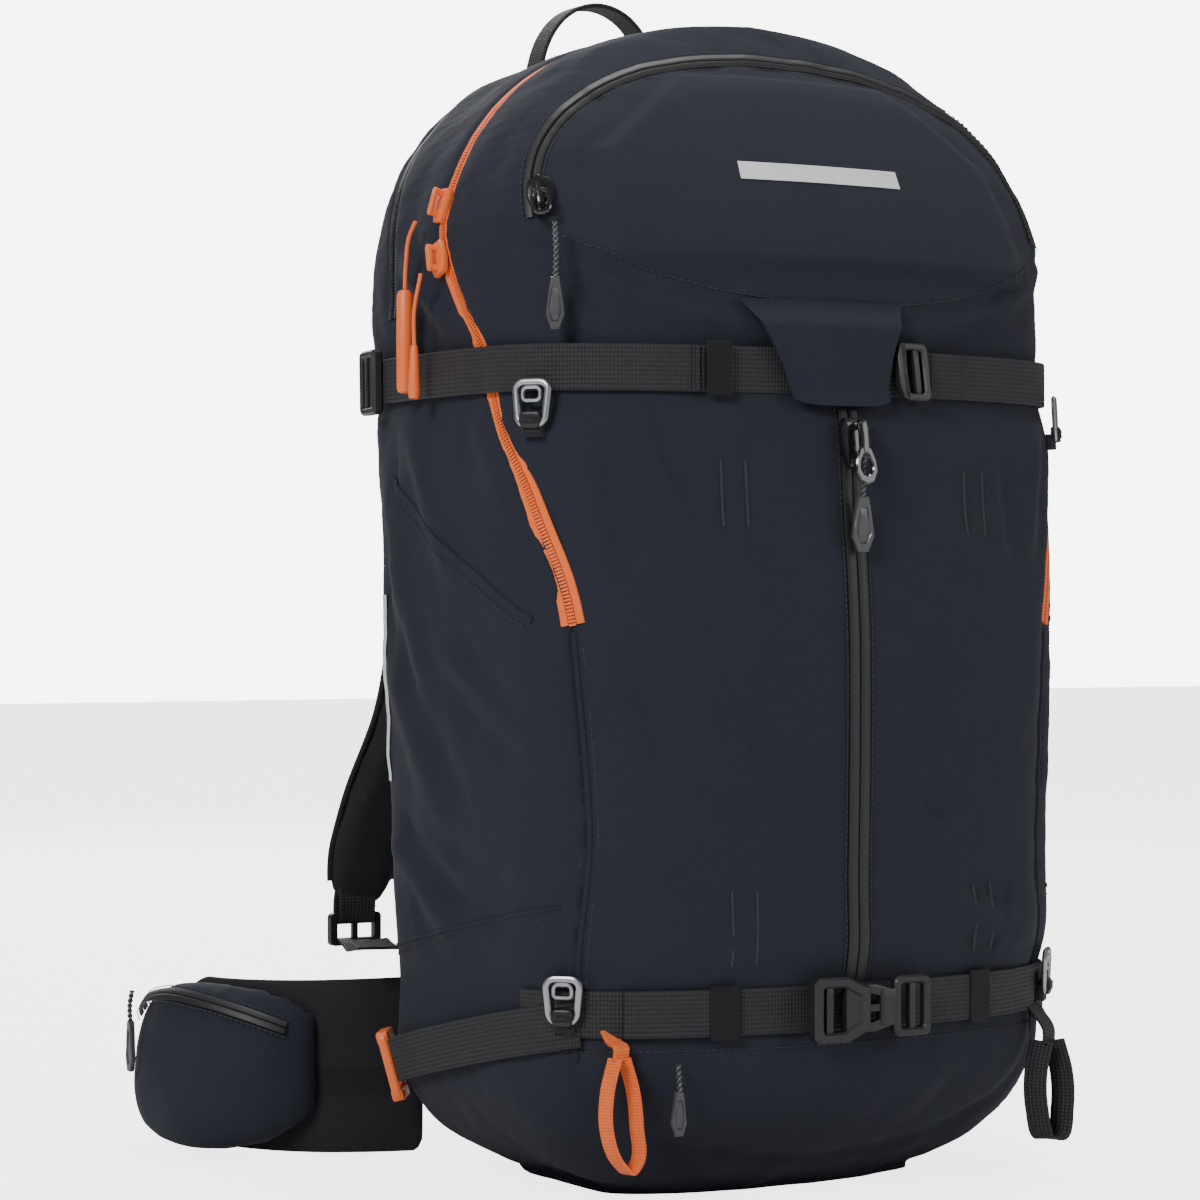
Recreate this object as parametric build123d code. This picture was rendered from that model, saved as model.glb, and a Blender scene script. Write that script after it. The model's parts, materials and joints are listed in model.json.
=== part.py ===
from build123d import *
import os
from math import cos, sin, pi, hypot

# Avalanche airbag backpack, about 35 litres.
# Frame: millimetres, +Z up, origin at the centre of the flat base.
# -Y is the outer face with the tool pocket, +Y is the wearer's side,
# -X is the wearer's left.  LEFT and RIGHT are the wearer's.

# ---------------------------------------------------------------- driving dimensions
BAG_HEIGHT = 652.0
HALF_WIDTH = ((0, 172), (110, 175), (290, 180), (450, 181), (550, 180), (652, 172))
FRONT_DEPTH = ((0, 122), (140, 128), (290, 131), (420, 119), (510, 104), (652, 66))
BACK_DEPTH = ((0, 120), (140, 120), (340, 127), (490, 146), (652, 140))
CORNER_POWER = 7.5          # higher is squarer in plan
FRONT_CROWN = 0.30          # how far the front face bows, as a share of its depth
FRONT_TAPER = 0.07          # how much narrower the bag is at its front face
BACK_TAPER = 0.04
SIDE_DOME_START = 495.0     # heights where the sides, front and back start to close
FRONT_DOME_START = 470.0
BACK_DOME_START = 550.0
BASE_ROUND_HEIGHT = 100.0
BASE_FLAT_WIDTH = 0.60      # the flat base as a share of the full section
BASE_FLAT_DEPTH = 0.45
WALL_LEVELS = (80, 110, 150, 200, 250, 300, 340, 380, 420, 450, 480, 505,
               530, 555, 578, 598, 615, 628, 638, 645)
CROWN_LEVELS = (645, 648, 650.4, 651.6)
BASE_LEVELS = (0, 4, 10, 20, 34, 50, 65, 80)
SECTION_POINTS = 44
WALL_POINTS = 26            # along one half of the wall, from seam to seam
SEAM_GAP = 0.2              # each side of the seam between the front panel and the rest

FABRIC = 3.0                # wall of the shell, with its lining and foam
TAPE_GAP = 0.3              # zip tapes lie on the shell
TAPE_TOP = 2.0
WEB_GAP = 2.6               # webbing runs over the zip tapes
WEB_TOP = 4.6
WEB_WIDTH = 25.0
HARDWARE_GAP = 5.2          # buckles sit on the webbing
HARDWARE_THICK = 8.0

PANEL_SPLIT = ((20, 700), (20, 600), (20, 545), (2, 502), (-23, 469), (-42, 430), (-70, 382),
               (-91, 314), (-95, 206), (-90, 140), (-86, 80))
MAIN_ZIP_END = 314.0
MAIN_ZIP_WIDTH = 13.0
AIRBAG_ZIP = ((79, 470), (81, 510), (89, 553), (102, 592), (112, 625), (116, 700))
AIRBAG_ZIP_END = 486.0

POCKET_ZIP_HALF = 161.0
POCKET_ZIP_FOOT = 530.0
POCKET_ZIP_RISE = 98.0
POCKET_ZIP_POWER = 2.2

FRONT_ZIP_TOP = 430.0
FRONT_ZIP_FOOT = 124.0
FRONT_ZIP_WIDTH = 16.0
FRONT_ZIP_LEAN = 8.0         # degrees that the front face leans back at the top of the zip

UPPER_WEB_Z = 451.0
LOWER_WEB_Z = 107.0
SIDE_WEB_BACK = (112.0, 62.0)     # Y and Z of the lower side webbing at the orange hook
SIDE_WEB_FRONT = (-92.0, 104.0)
HOOK_LEAN = 15.0            # degrees that the coloured hooks lean out with the bag's side

HAUL_ANCHOR = ((545, 2.0), (560, 2.0), (575, 2.4), (585, 6.0), (597, 17.0))     # Z and how far off the back
STRAP_YOKE = ((502, 2.4), (512, 2.4), (522, 4.0), (531, 9.5))
STRAP_LINE = ((163, 538), (193, 524), (220, 468), (231, 400), (231, 330), (226, 262),
              (236, 205), (240, 162), (238, 140))
STRAP_MIDDLE = ((540, 50), (450, 56), (350, 66), (262, 83), (205, 103), (138, 123))
STRAP_WIDTH = ((540, 56), (480, 66), (400, 64), (262, 62), (180, 54), (138, 34))
STRAP_THICK = 14.0

FIN_LINE = ((-126, 141), (-158, 149), (-190, 165), (-216, 196), (-226, 240), (-222, 284))
FIN_THICK = 12.0
FIN_BOTTOM = 2.0
FIN_TOP = 108.0


# ---------------------------------------------------------------- the bag's own form
def between(z, knots):
    """Smooth value at height z through (height, value) knots, without overshoot."""
    heights = [k[0] for k in knots]
    values = [k[1] for k in knots]
    slopes = [(values[i + 1] - values[i]) / (heights[i + 1] - heights[i]) for i in range(len(knots) - 1)]
    tangents = [slopes[0]]
    for a, b in zip(slopes, slopes[1:]):
        tangents.append(2 * a * b / (a + b) if a * b > 0 else 0.0)
    tangents.append(slopes[-1])
    i = 0
    while i < len(slopes) - 1 and z > heights[i + 1]:
        i += 1
    h = heights[i + 1] - heights[i]
    t = (z - heights[i]) / h
    start = values[i] * (2 * t**3 - 3 * t**2 + 1) + h * tangents[i] * (t**3 - 2 * t**2 + t)
    end = values[i + 1] * (3 * t**2 - 2 * t**3) + h * tangents[i + 1] * (t**3 - t**2)
    return start + end


def closing(z, start, top, power, root):
    """1 below start, falling to 0 at top: the profile of a dome."""
    t = min(max((z - start) / (top - start), 0.0), 1.0)
    return (1 - t**power) ** (1 / root)


def half_sizes(z):
    """Half width, depth to the front and depth to the back at height z."""
    base = min(max((BASE_ROUND_HEIGHT - z) / (BASE_ROUND_HEIGHT + 6), 0.0), 1.0)
    heel = min(max((30 - z) / 36, 0.0), 1.0)
    width = between(z, HALF_WIDTH) * closing(z, SIDE_DOME_START, BAG_HEIGHT, 2.2, 2.5)
    front = between(z, FRONT_DEPTH) * closing(z, FRONT_DOME_START, BAG_HEIGHT + 8, 2.2, 2.0)
    back = between(z, BACK_DEPTH) * closing(z, BACK_DOME_START, BAG_HEIGHT + 10, 4.0, 2.0)
    width *= max((1 - base**2.6) ** (1 / 2.6), BASE_FLAT_WIDTH)
    front *= max((1 - base**2.2) ** (1 / 2.2), BASE_FLAT_DEPTH)
    back *= (1 - heel**2.4) ** (1 / 2.4)
    return width, front, back


def outline_point(angle, z, gap):
    """A point of the bag's outline at height z, stood off by gap: a squarish oval with a bowed front."""
    width, front, back = (size + gap for size in half_sizes(z))
    depth = back if sin(angle) >= 0 else front
    reach = (abs(cos(angle) / width) ** CORNER_POWER + abs(sin(angle) / depth) ** CORNER_POWER)
    reach **= -1 / CORNER_POWER
    x = reach * cos(angle)
    y = reach * sin(angle)
    if y < 0:
        y *= 1 - FRONT_CROWN * (x / width) ** 2
        x *= 1 - FRONT_TAPER * min(-y / front, 1) ** 1.5
    else:
        x *= 1 - BACK_TAPER * (y / back) ** 2
    return x, y


def section_points(z, gap):
    return [outline_point(2 * pi * k / SECTION_POINTS, z, gap) for k in range(SECTION_POINTS)]


def solid_form(levels, gap):
    """The bag's solid form between the given levels."""
    return Solid.make_loft([Wire([Spline([(x, y, z) for x, y in section_points(z, gap)], periodic=True)])
                            for z in levels])


def angle_at(y, z, gap):
    """The angle on the right side where the outline passes y."""
    low, high = -pi / 2, pi / 2
    for _ in range(40):
        middle = (low + high) / 2
        if outline_point(middle, z, gap)[1] < y:
            low = middle
        else:
            high = middle
    return low


def wall(front):
    """Half of the fabric wall, before or behind the panel seam, as a bent sheet that closes nothing."""
    sections = []
    seam = tuple((z, y) for y, z in reversed(PANEL_SPLIT))
    for z in WALL_LEVELS:
        runs = []
        for gap in (0, -FABRIC):
            start = angle_at(between(z, seam) + (-SEAM_GAP if front else SEAM_GAP), z, gap)
            turn = -(pi + 2 * start) if front else pi - 2 * start
            points = []
            for k in range(WALL_POINTS):
                x, y = outline_point(start + turn * k / (WALL_POINTS - 1), z, gap)
                points.append((x, y, z))
            runs.append(points)
        outer, inner = runs
        edges = [Spline(outer), Line(outer[-1], inner[-1]), Spline(inner[::-1]), Line(inner[0], outer[0])]
        sections.append(Wire(edges))
    return Solid.make_loft(sections)


def front_y(x, z, gap=0.0):
    """Y of the front face at X and Z, stood off by gap."""
    width, front, _ = half_sizes(z)
    share = min(abs(x) / width, 0.98)
    edge = (1 - share**CORNER_POWER) ** (1 / CORNER_POWER)
    return -(front * (1 - FRONT_CROWN * share**2) * edge + gap)


def side_x(y, z, gap=0.0):
    """Half width of the bag at Y and Z, stood off by gap."""
    width, front, back = half_sizes(z)
    share = min(-y / front if y < 0 else y / back, 0.98)
    taper = FRONT_TAPER * share**1.5 if y < 0 else BACK_TAPER * share**2
    return width * (1 - taper) * (1 - share**CORNER_POWER) ** (1 / CORNER_POWER) + gap


def inside(x, y, z, gap):
    """Whether a point is within the bag's form grown by gap."""
    level = (z + gap) / (1 + 2 * gap / BAG_HEIGHT)
    if level <= 0 or level >= BAG_HEIGHT:
        return False
    width, front, back = (size + gap for size in half_sizes(level))
    if y < 0:
        share = min(-y / front, 1)
        x /= 1 - FRONT_TAPER * share**1.5
        y /= max(1 - FRONT_CROWN * min(x / width, 1) ** 2, 0.1)
        depth = front
    else:
        x /= 1 - BACK_TAPER * min(y / back, 1) ** 2
        depth = back
    return abs(x / width) ** CORNER_POWER + abs(y / depth) ** CORNER_POWER < 1


def skin(start, way, gap=0.0):
    """Where a ray from a point inside the bag, going straight along way, leaves the skin."""
    near, far = 0.0, 2 * BAG_HEIGHT
    while far - near > 0.005:
        middle = (near + far) / 2
        if inside(*(s + w * middle for s, w in zip(start, way)), gap):
            near = middle
        else:
            far = middle
    return Vector(*(s + w * near for s, w in zip(start, way)))


def skin_strip(rays, width, gap_in, gap_out):
    """A flat band that lies on the skin along the feet of a row of rays."""
    feet = [skin(start, way, gap_in) for start, way in rays]
    tops = [skin(start, way, gap_in + 4) for start, way in rays]
    sections = []
    for i, foot in enumerate(feet):
        along = (feet[min(i + 1, len(feet) - 1)] - feet[max(i - 1, 0)]).normalized()
        over = along.cross(tops[i] - foot).normalized()
        out = over.cross(along).normalized()
        thick = gap_out - gap_in
        corners = [foot + over * (width / 2 * a) + out * (thick * b)
                   for a, b in ((-1, 0), (1, 0), (1, 1), (-1, 1))]
        sections.append(Wire(Polyline(*corners, close=True).edges()))
    return Solid.make_loft(sections, ruled=True)


# ---------------------------------------------------------------- small helpers
def block(x0, x1, y0, y1, z0, z1):
    centre = ((x0 + x1) / 2, (y0 + y1) / 2, (z0 + z1) / 2)
    return Pos(*centre) * Box(x1 - x0, y1 - y0, z1 - z0)


def band(z0, z1, gap_in, gap_out):
    """A closed hoop of webbing round the bag between two heights."""
    middle = (z0 + z1) / 2
    outer, inner = (make_face(Spline(section_points(middle, gap), periodic=True)) for gap in (gap_out, gap_in))
    return extrude(Pos(0, 0, z0) * (outer - inner), amount=z1 - z0)


def sides_of(points, half):
    """Points to the left and right of a line, each half a width away."""
    left, right = [], []
    last = len(points) - 1
    for i, (a, b) in enumerate(points):
        p = points[max(i - 1, 0)]
        q = points[min(i + 1, last)]
        length = hypot(q[0] - p[0], q[1] - p[1])
        nx = -(q[1] - p[1]) / length
        ny = (q[0] - p[0]) / length
        grow = half(i) if callable(half) else half
        left.append((a + nx * grow, b + ny * grow))
        right.append((a - nx * grow, b - ny * grow))
    return left, right


def ribbon(points, width):
    """A flat face of one width that follows a smooth line."""
    left, right = sides_of(points, width / 2)
    return outline_face(left, right[::-1])


def outline_face(first, second):
    """A face between two smooth sides, joined end to end by straight lines."""
    one = Spline(first)
    two = Spline(second)
    return make_face([one, Line(first[-1], second[0]), two, Line(second[-1], first[0])])


def across_x(face, x0, x1):
    """Stretch a face drawn in Y and Z from x0 to x1."""
    return extrude(Plane.YZ.offset(x0) * face, amount=x1 - x0)


def across_y(face, y0, y1):
    """Stretch a face drawn in X and Z from y0 to y1."""
    return extrude(Plane.XZ.offset(-y1) * face, amount=y1 - y0)


def across_z(face, z0, z1):
    """Stretch a face drawn in X and Y from z0 to z1."""
    return extrude(Plane.XY.offset(z0) * face, amount=z1 - z0)


def mirrored(shape):
    return shape.mirror(Plane.YZ)


def frame_plate(width, height, bar, thick, corner):
    """A rectangular ring: a strap bar, D-ring or ladder frame."""
    outer = RectangleRounded(width, height, corner)
    inner = RectangleRounded(width - 2 * bar, height - 2 * bar, max(corner - bar, 0.6))
    return extrude(outer - inner, amount=thick / 2, both=True)


def facing_front(shape, x, y, z):
    """Stand a flat piece drawn in XY upright, facing -Y, with its centre at x, y, z."""
    return Pos(x, y, z) * Rot(90, 0, 0) * shape


def facing_side(shape, x, y, z):
    """Stand a flat piece drawn in XY upright, facing -X, with its width along Y."""
    return Pos(x, y, z) * Rot(0, 0, 90) * Rot(90, 0, 0) * shape


def capsule(width, height, thick):
    """A flat tab with round ends."""
    return extrude(RectangleRounded(width, height, width / 2 - 0.01), amount=thick / 2, both=True)


NODES = {}


def keep(name, shape):
    """Keep a sub-part under its node's name."""
    NODES[name] = shape


# ---------------------------------------------------------------- shell and panels
PAST = 400.0                # further than the bag reaches in any direction


def make_shell():
    keep("front_panel", wall(True))
    keep("main_shell", Compound([wall(False), solid_form(CROWN_LEVELS, 0)]))
    inner = tuple(max(z, FABRIC) for z in BASE_LEVELS[1:]) + (BASE_LEVELS[-1] + 2,)
    keep("base_panel", solid_form(BASE_LEVELS, 0) - solid_form(inner, -FABRIC))


# ---------------------------------------------------------------- zips
def seam_rays(seam, foot, over_y):
    """Rays to a seam that climbs the left side, crosses the top at over_y and comes down the right."""
    side_top = 560
    climb = []
    steps = 14
    for k in range(steps + 1):
        z = foot + (side_top - foot) * k / steps
        climb.append(((0, between(z, seam), z), (-1, 0, 0)))
    arch = []
    for k in range(1, steps):
        lean = pi / 2 * k / steps
        arch.append(((0, over_y(k / steps), side_top), (-cos(lean), 0, sin(lean))))
    top = [((0, over_y(1), side_top), (0, 0, 1))]
    half = climb + arch
    other = [((0, start[1], start[2]), (-way[0], 0, way[2])) for start, way in reversed(half)]
    return half + top + other


def make_zips():
    seam = tuple((z, y) for y, z in reversed(PANEL_SPLIT) if z <= 600)
    rays = seam_rays(seam, MAIN_ZIP_END, lambda share: 20)
    keep("main_zip", skin_strip(rays, MAIN_ZIP_WIDTH, TAPE_GAP, TAPE_TOP))
    seam = tuple((z, y) for y, z in AIRBAG_ZIP if z <= 625)
    rays = seam_rays(seam, AIRBAG_ZIP_END, lambda share: 90 + 24 * share)
    keep("airbag_zip", skin_strip(rays, MAIN_ZIP_WIDTH - 3, TAPE_GAP, TAPE_TOP))
    arch = []
    steps = 28
    for k in range(steps + 1):
        turn = pi * k / steps
        x = POCKET_ZIP_HALF * abs(cos(turn)) ** (2 / POCKET_ZIP_POWER)
        z = POCKET_ZIP_FOOT + POCKET_ZIP_RISE * abs(sin(turn)) ** (2 / POCKET_ZIP_POWER)
        arch.append(((x if 2 * k > steps else -x, 0, z), (0, -1, 0)))
    keep("pocket_zip", skin_strip(arch, 10, TAPE_GAP, TAPE_TOP))
    line = [((0, 0, z), (0, -1, 0)) for z in range(int(FRONT_ZIP_FOOT), int(FRONT_ZIP_TOP) + 1, 18)]
    keep("front_zip", skin_strip(line, FRONT_ZIP_WIDTH, TAPE_GAP, TAPE_TOP))


def slider():
    """A zip slider drawn flat: a tapered body with the bridge that holds its puller."""
    body = extrude(make_face(Polyline((-5, 8), (5, 8), (6.5, 0), (4, -9), (-4, -9), (-6.5, 0), (-5, 8))),
                   amount=3.2)
    bridge = Pos(0, 0, 3.2 + 2) * Box(3.4, 12, 4)
    return body + bridge


def make_sliders():
    y, z = 20, 545
    left = -side_x(y, z - 9, TAPE_TOP + 0.6)
    upper = Pos(left, y, z) * Rot(0, -90, 0) * Rot(0, 0, -90) * slider()
    lower = Pos(-side_x(10, 505, TAPE_TOP + 0.8), 12, 516) * Rot(20, 0, 0) * Rot(0, -90, 0) * Rot(0, 0, 90)
    lower = lower * slider()
    pocket_z = POCKET_ZIP_FOOT + 10
    pocket = Pos(-157, front_y(-157, pocket_z, 9), pocket_z) * Rot(0, 0, -35) * Rot(90, 0, 0) * slider()
    keep("fixed_zip_sliders", Compound([upper, lower, pocket]))
    z = FRONT_ZIP_TOP - 18
    y = front_y(0, z, TAPE_TOP + 1.6)
    leaning = Pos(0, y, z) * Rot(-FRONT_ZIP_LEAN, 0, 0)
    keep("front_zip_slider", leaning * facing_front(slider().scale(1.5), 0, 0, 0))


def make_pulls():
    tube_x = -side_x(36, UPPER_WEB_Z, WEB_TOP + 5.4)
    tube = Pos(tube_x, 36, 470) * Cylinder(4.6, 57)
    keep("main_zip_tube_pull", tube + Pos(tube_x, 36, 517) * Cylinder(1.4, 38))
    small_x = -side_x(14, 480, 15)
    taper = Pos(small_x, 14, 452) * Cone(3.4, 2.2, 30)
    keep("main_zip_small_pull", taper + Pos(small_x, 14, 486) * Cylinder(1.3, 40))
    x = -164
    y = front_y(-157, 530, 19)
    tab = Pos(x, y, 484) * Rot(0, 0, -35) * Rot(90, 0, 0) * capsule(8, 28, 3)
    keep("pocket_zip_pull", tab + Pos(x, y, 512) * Cylinder(1.4, 30))
    y = front_y(0, FRONT_ZIP_TOP - 30, 12.5)
    tab = facing_front(capsule(13, 28, 4), 0, y, FRONT_ZIP_TOP - 63)
    keep("front_zip_pull", tab + Pos(0, y, FRONT_ZIP_TOP - 39.5) * Cylinder(1.7, 24))
    y = front_y(-105, 78, 6)
    tab = facing_front(capsule(8, 22, 3), -105, y, 54)
    keep("base_zip_pull", tab + Pos(-105, y, 72) * Cylinder(1.4, 18))


# ---------------------------------------------------------------- compression straps
def make_straps():
    half = WEB_WIDTH / 2
    upper = band(UPPER_WEB_Z - half, UPPER_WEB_Z + half, WEB_GAP, WEB_TOP)
    keep("upper_strap", upper & block(-PAST, PAST, -PAST, 110, 0, 2 * PAST))
    front = band(LOWER_WEB_Z - half, LOWER_WEB_Z + half, WEB_GAP, WEB_TOP)
    front = front & block(-PAST, PAST, -PAST, SIDE_WEB_FRONT[0] + 16, 0, 2 * PAST)
    rays = []
    steps = 8
    for k in range(1, steps + 1):
        y, z = (back + (ahead - back) * k / steps for back, ahead in zip(SIDE_WEB_BACK, SIDE_WEB_FRONT))
        rays.append(((0, y, z), (-1, 0, 0)))
    side = skin_strip(rays, WEB_WIDTH, WEB_TOP + 0.2, WEB_TOP + 2.2)
    keep("lower_strap", Compound([front, side, mirrored(side)]))


def ladder_frame(width, height):
    """A strap adjuster: a frame with one cross bar."""
    return frame_plate(width, height, 4.5, HARDWARE_THICK - 3, 3) + Box(3.5, height - 6, 3)


def buckle_socket(length, height):
    """The female half of a side-release buckle, opening towards +X."""
    plate = extrude(RectangleRounded(length, height, 4), amount=HARDWARE_THICK / 2, both=True)
    hollow = Pos(length / 4, 0, 0) * Box(length / 2 + 2, height - 8, HARDWARE_THICK - 4)
    window = Pos(length * 0.12, 0, 0) * Box(8, height * 0.45, HARDWARE_THICK + 2)
    slot = Pos(-length / 2 + 7, 0, 0) * Box(5, height - 10, HARDWARE_THICK + 2)
    return plate - hollow - window - slot


def buckle_plug(length, height):
    """The male half: a ladder frame with two side prongs and a guide, reaching towards -X."""
    frame = Pos(length / 4, 0, 0) * ladder_frame(length / 2, height)
    prong = Pos(-length / 4 + 1, height / 2 - 7, 0) * Box(length / 2 + 2, 4, HARDWARE_THICK - 4.8)
    guide = Pos(-length / 4 + 3, 0, 0) * Box(length / 2 - 4, 4, HARDWARE_THICK - 4.8)
    return frame + prong + prong.mirror(Plane.XZ) + guide


def make_strap_hardware():
    z = LOWER_WEB_Z
    y = front_y(0, z, HARDWARE_GAP + HARDWARE_THICK / 2)
    keep("lower_buckle_socket", facing_front(buckle_socket(36, 34), -16, y, z))
    keep("lower_buckle_plug", facing_front(buckle_plug(52, 32), 16, y, z))
    left_y = 96
    left = facing_side(ladder_frame(30, 36), -side_x(left_y - 15, UPPER_WEB_Z, WEB_TOP + 3.1), left_y,
                       UPPER_WEB_Z)
    y = front_y(41, UPPER_WEB_Z, HARDWARE_GAP + 3.5)
    hook = facing_front(ladder_frame(22, 31), 46, y, UPPER_WEB_Z)
    keep("upper_strap_buckles", Compound([left, mirrored(left), hook]))
    bands = []
    for x, z in ((-78, UPPER_WEB_Z), (-78, LOWER_WEB_Z), (88, LOWER_WEB_Z)):
        hoop = band(z - 14, z + 14, WEB_TOP + 0.3, WEB_TOP + 2.2)
        bands.append(hoop & block(x - 9, x + 9, -PAST, 0, 0, PAST * 2))
    for x, half, z0, z1, gap in ((-135, 6, 88.5, 94, 7.5), (148, 7, 80.5, 92, 10)):
        tab = band(z0, z1, 0.6, gap)
        bands.append(tab & block(x - half, x + half, -PAST, 0, 0, PAST * 2))
    for line, thick, x0, x1 in ((HAUL_ANCHOR, 2, 34, 50), (STRAP_YOKE, 3, 24, 76)):
        points = [(half_sizes(z)[2] + away, z) for z, away in line]
        anchor = across_x(ribbon(points, thick), x0, x1)
        bands += [anchor, mirrored(anchor)]
    keep("strap_keepers", Compound(bands))


def make_rings():
    """Metal gear hooks at the bag's front corners, and the coloured hooks at its lower back corners."""
    hooks = []
    for z in (UPPER_WEB_Z - 20, LOWER_WEB_Z + 6):
        ring = frame_plate(17, 22, 3, 3, 4)
        x = -side_x(-74, z, HARDWARE_GAP + 2.5)
        piece = facing_side(ring, x, -74, z)
        hooks += [piece, mirrored(piece)]
    keep("gear_hooks", Compound(hooks))
    ring = frame_plate(20, 38, 4, 5, 4)
    y, z = SIDE_WEB_BACK
    x = -side_x(y - 20, z, WEB_TOP + 5.2)
    piece = Pos(x, y - 10, z) * Rot(0, -HOOK_LEAN, 0) * facing_side(ring, 0, 0, 0)
    keep("coloured_hooks", Compound([piece, mirrored(piece)]))


def make_flap():
    """The fabric cover over the middle of the upper strap, hung from the pocket's lower edge."""
    outline = make_face(Polyline((-62, 486), (38, 486), (27, 432), (-36, 432), (-62, 486)))
    y = front_y(0, UPPER_WEB_Z, WEB_TOP)
    cover = across_x(ribbon(((y - 1.2, 488), (y - 5, 470), (y - 5.5, 450), (y - 4.5, 431)), 1.4), -70, 50)
    keep("cover_flap", cover & across_y(outline, -PAST, -20))


# ---------------------------------------------------------------- loops
def make_loops():
    half, foot, top = 42.0, 606.0, 688.5
    outer = [(-half, foot), (-half + 1, top - 42), (-half * 0.6, top - 11), (0, top),
             (half * 0.6, top - 11), (half - 1, top - 42), (half, foot)]
    left, right = sides_of(outer, 1.5)
    keep("haul_loop", across_y(outline_face(left, right[::-1]), 149, 169))

    x, top, foot = -135, 86, 23
    y = front_y(x, top, 8.0)
    strand = outline_face([(-11, foot + 8), (-12, (top + foot) / 2), (-6, top)],
                          [(6, top), (12, (top + foot) / 2), (11, foot + 8)])
    loop = across_y(strand, -5, 5)
    inner = outline_face([(-5, foot + 14), (-6, (top + foot) / 2), (-1, top - 14)],
                         [(1, top - 14), (6, (top + foot) / 2), (5, foot + 14)])
    keep("axe_loop", Pos(x, y, 0) * (loop - across_y(inner, -6, 6)))
    x, top, foot = 148, 78, 22
    y = front_y(x, top, 12.0)
    plate = facing_front(frame_plate(22, top - foot, 5.5, 4, 5), 0, 0, (top + foot) / 2)
    keep("base_loop", Pos(x, y, 0) * Rot(0, 0, 30) * plate)


# ---------------------------------------------------------------- back and frame
def back_sheet(gap_in, gap_out, z0, z1, x0, x1):
    """A sheet that follows the bag's back face between two heights."""
    line = []
    steps = 8
    for k in range(steps + 1):
        z = z0 + (z1 - z0) * k / steps
        line.append((half_sizes(z)[2] + (gap_in + gap_out) / 2, z))
    return across_x(ribbon(line, gap_out - gap_in), x0, x1)


def make_back():
    keep("back_panel_foam", Compound([back_sheet(0.6, 12, 116, 496, 15, 112),
                                      back_sheet(0.6, 12, 116, 496, -112, -15)]))
    keep("lumbar_pad", back_sheet(0.6, 20, 36, 112, -98, 98))
    keep("frame_sheet", back_sheet(-7, -5, 45, 505, -115, 115))
    keep("frame_stays", Compound([back_sheet(-11, -8, 60, 490, x - 11, x + 11) for x in (-62, 62)]))


def make_airbag_system():
    keep("airbag_folded", back_sheet(-50, -15, 470, 590, -128, 128))
    x, y, foot = -70.0, 62.0, 190.0
    body = Pos(x, y, foot + 95) * Cylinder(29, 190)
    body = fillet(body.edges(), 14)
    neck = Pos(x, y, foot + 190 + 9) * Cylinder(9, 22)
    keep("gas_cartridge", body + neck)
    hoop = Pos(x, y, foot + 120) * (Cylinder(31.5, 25) - Cylinder(29.4, 26))
    keep("cartridge_strap", hoop)
    head_z = foot + 210 + 24
    head = Pos(x, y - 2, head_z) * Box(58, 46, 46)
    head = head + Pos(x + 42, y - 2, head_z) * Rot(0, 90, 0) * Cylinder(20, 34)
    bore = Pos(x, y, head_z + 6) * Cylinder(3.0, 36)
    keep("inflator_head", head - bore)
    keep("piercing_pin", Pos(x, y, head_z + 8) * Cylinder(2.6, 22))
    keep("tool_divider", block(-140, 140, -72, -70.5, 60, 420))
    start = (x + 10, y + 22, head_z)
    cable = Polyline(start, (x + 10, y + 36, head_z), (x + 14, y + 44, head_z - 30), (x + 14, y + 44, 300))
    path = FilletPolyline(*[tuple(v) for v in cable.vertices()], radius=6)
    keep("release_cable", sweep(Plane(origin=path @ 0, z_dir=path % 0) * Circle(2), path=path))


# ---------------------------------------------------------------- harness
def strap_outline():
    """The shoulder pad's curved outline seen from behind."""
    outer, inner = [], []
    for z in (545, 500, 450, 400, 350, 300, 262, 230, 205, 175, 136):
        z_in = min(max(z, 138), 540)
        mid = between(z_in, STRAP_MIDDLE[::-1])
        half = between(z_in, STRAP_WIDTH[::-1]) / 2
        outer.append((-mid - half, z))
        inner.append((-mid + half, z))
    return across_y(outline_face(outer, inner[::-1]), 100, PAST)


def make_shoulder_pads():
    pad = across_x(ribbon(STRAP_LINE, STRAP_THICK), -PAST, 0) & strap_outline()
    keep("shoulder_pad_left", pad)
    keep("shoulder_pad_right", mirrored(pad))
    lock = Pos(-123, 238, 126) * Rot(90, 0, 0) * ladder_frame(34, 20)
    keep("ladder_lock_left", lock)
    keep("ladder_lock_right", mirrored(lock))
    line = ((231, 117), (205, 116), (172, 124), (140, 126), (124, 124))
    web = across_x(ribbon(line, 2), -PAST, 0)
    run = outline_face([(-140, 240), (-150, 180), (-172, 118)], [(-147, 118), (-125, 180), (-115, 240)])
    web = web & across_z(run, 60, 200)
    keep("adjuster_web_left", web)
    keep("adjuster_web_right", mirrored(web))
    lifter = across_x(ribbon(((139, 622), (150, 608), (164, 594)), 2), -72, -52)
    keep("load_lifters", Compound([lifter, mirrored(lifter)]))
    y = 231 + STRAP_THICK / 2
    stub = block(-84, -26, y + 2.1, y + 4.1, 372, 392) + block(-64, -56, y + 2.1, y + 6.1, 368, 396)
    keep("sternum_strap_left", stub)
    keep("sternum_strap_right", mirrored(stub))
    socket = Pos(-20, y + 8.6, 382) * Rot(90, 0, 0) * buckle_socket(26, 24)
    keep("sternum_socket", socket)
    keep("sternum_plug", Pos(20, y + 8.6, 382) * Rot(90, 0, 0) * buckle_plug(26, 22))
    pouch = block(-86, -46, y + 0.8, y + 12.8, 290, 345) - block(-80, -52, y + 2.8, y + 10.8, 288, 340)
    keep("handle_pouch", Pos(0, 0.8, 0) * pouch)
    grip = block(-76, -56, y + 4, y + 10, 262, 334)
    keep("release_handle", Pos(0, 0.6, 0) * fillet(grip.edges().filter_by(Axis.Z), 2.5))


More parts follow.
